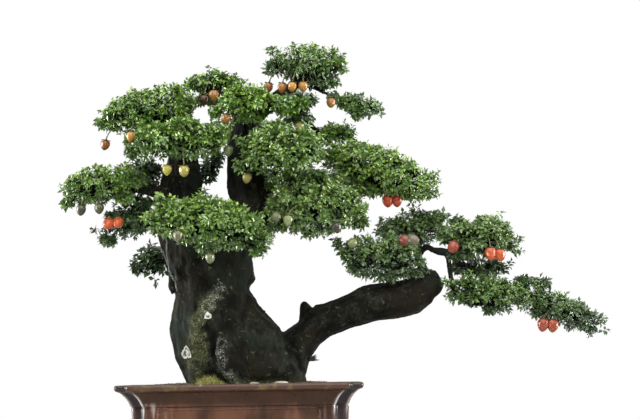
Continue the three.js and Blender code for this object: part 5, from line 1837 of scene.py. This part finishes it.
@dataclass
class Ground:
    """The soil with its loose grains, the moss at the trunk's foot, and the two flat stones."""

    soil_voxel: float = 5.0
    grains: int = 1500
    grain_size: tuple[float, float] = (1.4, 4.2)
    moss_leaves: int = 3200
    soil: EarthFinish = EarthFinish("soil", paint(38, 28, 21), paint(84, 66, 50), 22, 0.95, 1.4)
    grain: EarthFinish = EarthFinish("soil_grain", paint(66, 50, 38), paint(132, 110, 88), 30, 0.9, 0.5)
    stone: EarthFinish = EarthFinish("stone", paint(152, 142, 126), paint(206, 198, 184), 14, 0.8, 0.4)
    moss: EarthFinish = EarthFinish("moss", paint(94, 100, 36), paint(234, 230, 140), 5, 0.9, 0.3)

    def build_soil(self) -> Surface:
        """Remesh the packed soil and roughen its top with noise of 26 mm and of 6 mm."""
        surface = node_surface("soil", self.soil_voxel * (1))
        facing = surface.normals()[:, 2]
        rough = 1.2 * Noise(31).layered(surface.points, 26, 3) + 0.7 * Noise(33).at(surface.points, 6)
        surface.points[:, 2] += eased(facing, 0.5, 0.9) * (rough - 0.5)
        piece(surface, "rough_soil", Slot.SOIL, [self.soil.material()], ("soil",))
        return surface

    def top_places(self, surface: Surface, count: int, seed: int) -> tuple[Array, np.random.Generator]:
        """Pick points of the soil's top at random.

        Args:
            surface: The soil.
            count: How many.
            seed: Seed of the choice.

        Returns:
            The points, and the random numbers to go on with.
        """
        random = np.random.default_rng(seed)
        is_top = surface.normals()[:, 2] > 0.75
        top = surface.points[is_top]
        picked = top[random.choice(len(top), count)]
        return picked + random.uniform(-1.5, 1.5, picked.shape) * [1, 1, 0], random

    def build_grains(self, soil: Surface) -> None:
        """Scatter small twelve-cornered grains over the soil, each stretched and turned its own way."""
        golden = (1 + 5**0.5) / 2
        base = np.array([(0, a, b * golden) for a in (1, -1) for b in (1, -1)])
        ball = unit(np.concatenate([base, base[:, [1, 2, 0]], base[:, [2, 0, 1]]]))
        gap = np.linalg.norm(ball[:, None] - ball[None], axis=2)
        near = (gap > 0.1) & (gap < 1.2)
        triples = np.array([
            (a, b, c) for a in range(12) for b in range(a + 1, 12) for c in range(b + 1, 12)
            if near[a, b] and near[b, c] and near[a, c]
        ])
        first, second, third = ball[triples].transpose(1, 0, 2)
        inward = dot(np.cross(second - first, third - first), first)[:, 0] < 0
        triples[inward] = triples[inward][:, ::-1]
        count = self.grains // 1
        places, random = self.top_places(soil, count, 51)
        size = random.uniform(*self.grain_size, (count, 1, 1))
        size = size * random.uniform(0.7, 1.3, (count, 1, 3)) / 2
        size[..., 2] *= 0.75
        turn = random.uniform(0, WHOLE_TURN, (count, 1))
        shape = ball[None] * size * random.uniform(0.82, 1.12, (count, 12, 1))
        x = shape[..., 0] * np.cos(turn) - shape[..., 1] * np.sin(turn)
        y = shape[..., 0] * np.sin(turn) + shape[..., 1] * np.cos(turn)
        shape = np.stack([x, y, shape[..., 2]], axis=2)
        points = (places[:, None] + shape + [0, 0, 0.3]).reshape(-1, 3)
        faces = (triples[None] + 12 * np.arange(count)[:, None, None]).reshape(-1, 3)
        piece(Surface.of(points, faces), "soil_grains", Slot.SOIL, [self.grain.material()], smooth=False)

    def build_moss(self, soil: Surface) -> None:
        """Grow short moss leaves where the trunk meets the soil, thickest at the front.

        Each is a three-sided spike that leans its own way, up to 29 mm long in the tuft at the front.

        Args:
            soil: The soil's surface.
        """
        count = self.moss_leaves // 1
        places, random = self.top_places(soil, 24 * count, 61)
        middle = np.array([-66, -104])
        tuft = np.linalg.norm((places[:, :2] - middle) / [21, 12], axis=1)
        ring = np.abs(np.linalg.norm((places[:, :2] - [25, -5]) / [150, 100], axis=1) - 0.98) / 0.12
        spread = Noise(66).at(places, 40) > 0.05
        stray = Noise(67).at(places, 55) > 0.4
        chance = np.exp(-(tuft**2)) + 0.1 * np.exp(-(ring**2)) * spread + 0.03 * stray
        picked = np.flatnonzero(random.random(len(places)) < chance)[:count]
        start = places[picked] - [0, 0, 0.8]
        lean = unit(random.normal(size=start.shape) * [0.4, 0.4, 0.2] + UP)
        close = np.exp(-(tuft[picked] ** 2))
        tall = random.uniform(2, 4, len(start)) + 25 * close**0.5 * random.random(len(start)) ** 0.8
        blades = spikes(start, start + tall[:, None] * lean, 0.9)
        piece(blades, "moss_tufts", Slot.LEAF, [self.moss.material()], smooth=False)

    def build_stones(self) -> None:
        """Fill each stone node's box with a ball flattened by a power of its height and dented by noise."""
        finish = self.stone.material()
        for seed, name in enumerate(("stone_left", "stone_right"), start=71):
            low, high = (np.array(corner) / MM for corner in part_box(name))
            middle, half = (low + high) / 2, (high - low) / 2
            tilt = np.linspace(-np.pi / 2, np.pi / 2, 26)[1:-1, None]
            turn = angles(48)
            flat = np.abs(np.cos(tilt)) ** 0.6
            rise = np.sign(np.sin(tilt)) * np.abs(np.sin(tilt)) ** 0.8
            tall = np.broadcast_to(rise, (24, 48))
            ball = np.stack([flat * np.cos(turn), flat * np.sin(turn), tall], axis=2)
            dents = Noise(seed).layered(ball.reshape(-1, 3) * 20, 16, 3).reshape(24, 48, 1)
            ball = ball * (0.95 + 0.07 * dents)
            piece(skinned((middle + ball * half)[None]), f"{name}_worn", Slot.STONE, [finish], (name,))

    def build(self) -> None:
        """Make the soil, its grains, the moss and the stones."""
        soil = self.build_soil()
        self.build_grains(soil)
        self.build_moss(soil)
        self.build_stones()


# The studio


@dataclass(frozen=True)
class Lamp:
    """A soft rectangular lamp: where it hangs and its two sides in metres, and its power in watts."""

    name: str
    place: Place
    size: tuple[float, float]
    power: float


@dataclass
class Studio:
    """A plain pale floor, soft light from above, and the camera at the photograph's angle.

    The camera's place and the target are in metres, its lens in millimetres, its rise in radians and
    its roll in degrees. A sky is the two heights of the gaze, from -1 to 1, between which it brightens,
    and its brightness at each.
    """

    camera_place: Place = (0.176, -3.4, 0.210)
    camera_lens: float = 86.93
    camera_rise: float = 0.1069
    camera_roll: float = -0.9
    target: Place = (0.15, 0, 0.5)
    lamps: tuple[Lamp, ...] = (
        Lamp("sky_lamp", (0.0, -0.9, 2.9), (2.6, 2.2), 54),
        Lamp("front_lamp", (0.4, -3.4, 2.0), (2.4, 1.6), 65),
        Lamp("left_strip", (-2.3, -0.9, 0.7), (0.9, 1.8), 4),
        Lamp("right_strip", (2.5, -0.4, 0.8), (0.9, 1.8), 7),
    )
    floor_radius: float = 1500
    sky: tuple[float, float, float, float] = (-0.3, 0.8, 0.3, 0.8)
    gloss_sky: tuple[float, float, float, float] = (0.05, 0.75, 0.05, 1.7)
    softbox_reach: float = 0.92
    softbox_strength: float = 26.0

    def floor(self) -> None:
        """Lay a round floor slab 14 mm thick, rounded at its edge, with its top 0.1 mm below the pot."""
        turn = angles(96)
        radius = self.floor_radius * np.array([0.5, 0.98, 1.0, 0.99, 0.5])
        level = np.array([-14, -14, -8, -0.2, -0.1])
        flat = radius[:, None, None] * np.stack([np.cos(turn), np.sin(turn)], axis=1) + [176, 0]
        tall = np.broadcast_to(level[:, None, None], (5, 96, 1))
        surface = skinned(np.concatenate([flat, tall], axis=2)[None])
        graph = Graph("floor")
        clouds = graph.between(graph.noise(220, 3), 0.3, 0.7)
        pale = graph.blend(clouds, paint(232, 231, 228), paint(224, 223, 220))
        material = graph.dress(Base_Color=pale, Roughness=0.7, Normal=graph.bump(graph.noise(3, 2), 0.1, 0.2))
        thing = bpy.data.objects.new("floor", mesh_of(surface, "floor", True))
        thing.data.materials.append(material)
        bpy.context.scene.collection.objects.link(thing)

    def hang(self, lamp: Lamp) -> None:
        """Hang a lamp that looks at the target."""
        light = bpy.data.lights.new(lamp.name, "AREA")
        light.shape = "RECTANGLE"
        light.size, light.size_y = lamp.size
        light.energy = lamp.power
        thing = bpy.data.objects.new(lamp.name, light)
        place = Vector(lamp.place)
        thing.location = place
        thing.rotation_euler = (Vector(self.target) - place).to_track_quat("-Z", "Y").to_euler()
        bpy.context.scene.collection.objects.link(thing)

    def world(self) -> None:
        """Show white behind the object, and light it with a dimmer sky that is brighter above.

        A glossy surface sees a sky of its own, with a bright softbox far out on the left and right.
        """
        world = bpy.data.worlds.new("studio")
        bpy.context.scene.world = world
        world.use_nodes = True
        tree = world.node_tree
        tree.nodes.clear()

        def maths(operation: str, *values: Socket | float) -> Socket:
            """Add a math node and give its result."""
            node = tree.nodes.new("ShaderNodeMath")
            node.operation = operation
            for socket, value in zip(node.inputs, values):
                if isinstance(value, Socket):
                    tree.links.new(value, socket)
                else:
                    socket.default_value = value
            return node.outputs[0]

        rays = tree.nodes.new("ShaderNodeLightPath")
        split = tree.nodes.new("ShaderNodeSeparateXYZ")
        tree.links.new(tree.nodes.new("ShaderNodeTexCoord").outputs["Generated"], split.inputs[0])

        def ramp(limits: tuple[float, ...]) -> Socket:
            """Brighten the sky from one height to another."""
            node = tree.nodes.new("ShaderNodeMapRange")
            node.interpolation_type = "SMOOTHSTEP"
            tree.links.new(split.outputs["Z"], node.inputs["Value"])
            for name, value in zip(("From Min", "From Max", "To Min", "To Max"), limits):
                node.inputs[name].default_value = value
            return node.outputs[0]

        softbox = maths("GREATER_THAN", maths("ABSOLUTE", split.outputs["X"]), self.softbox_reach)
        softbox = maths("MULTIPLY", softbox, maths("GREATER_THAN", split.outputs["Z"], -0.25))
        shine = maths("MULTIPLY_ADD", softbox, self.softbox_strength, ramp(self.gloss_sky))
        glossy = rays.outputs["Is Glossy Ray"]
        soft = maths("MULTIPLY", ramp(self.sky), maths("SUBTRACT", 1.0, glossy))
        light = maths("MULTIPLY_ADD", glossy, shine, soft)
        camera = rays.outputs["Is Camera Ray"]
        seen = maths("MULTIPLY_ADD", light, maths("SUBTRACT", 1.0, camera), camera)
        back = tree.nodes.new("ShaderNodeBackground")
        tree.links.new(seen, back.inputs[1])
        back.inputs[0].default_value = (1, 1, 1, 1)
        tree.links.new(back.outputs[0], tree.nodes.new("ShaderNodeOutputWorld").inputs[0])
        bpy.context.scene.view_settings.view_transform = "Standard"

    def camera(self) -> None:
        """Stand the camera where the photograph was taken from, tilted up a little and rolled."""
        data = bpy.data.cameras.new("camera")
        data.sensor_width = 36
        data.lens = self.camera_lens
        thing = bpy.data.objects.new("camera", data)
        tilt = Matrix.Rotation(np.pi / 2 + self.camera_rise, 4, "X")
        roll = Matrix.Rotation(np.radians(self.camera_roll), 4, "Z")
        thing.matrix_world = Matrix.Translation(self.camera_place) @ (tilt @ roll)
        bpy.context.scene.collection.objects.link(thing)
        bpy.context.scene.camera = thing

    def build(self) -> None:
        """Set the floor, the lamps, the world and the camera."""
        self.floor()
        self.world()
        for lamp in self.lamps:
            self.hang(lamp)
        self.camera()


def main() -> None:
    """Build the studio and every sub-assembly in order."""
    logging.basicConfig(level=logging.INFO, format="%(name)s %(message)s")
    Studio().build()
    trunk = Trunk().build()
    fruits = Fruits()
    fruits.build()
    foliage = Foliage()
    foliage.build(fruits.middles())
    foliage.build_twigs(trunk.data.materials[0])
    Pot().build()
    Ground().build()


if __name__ == "__main__":
    main()
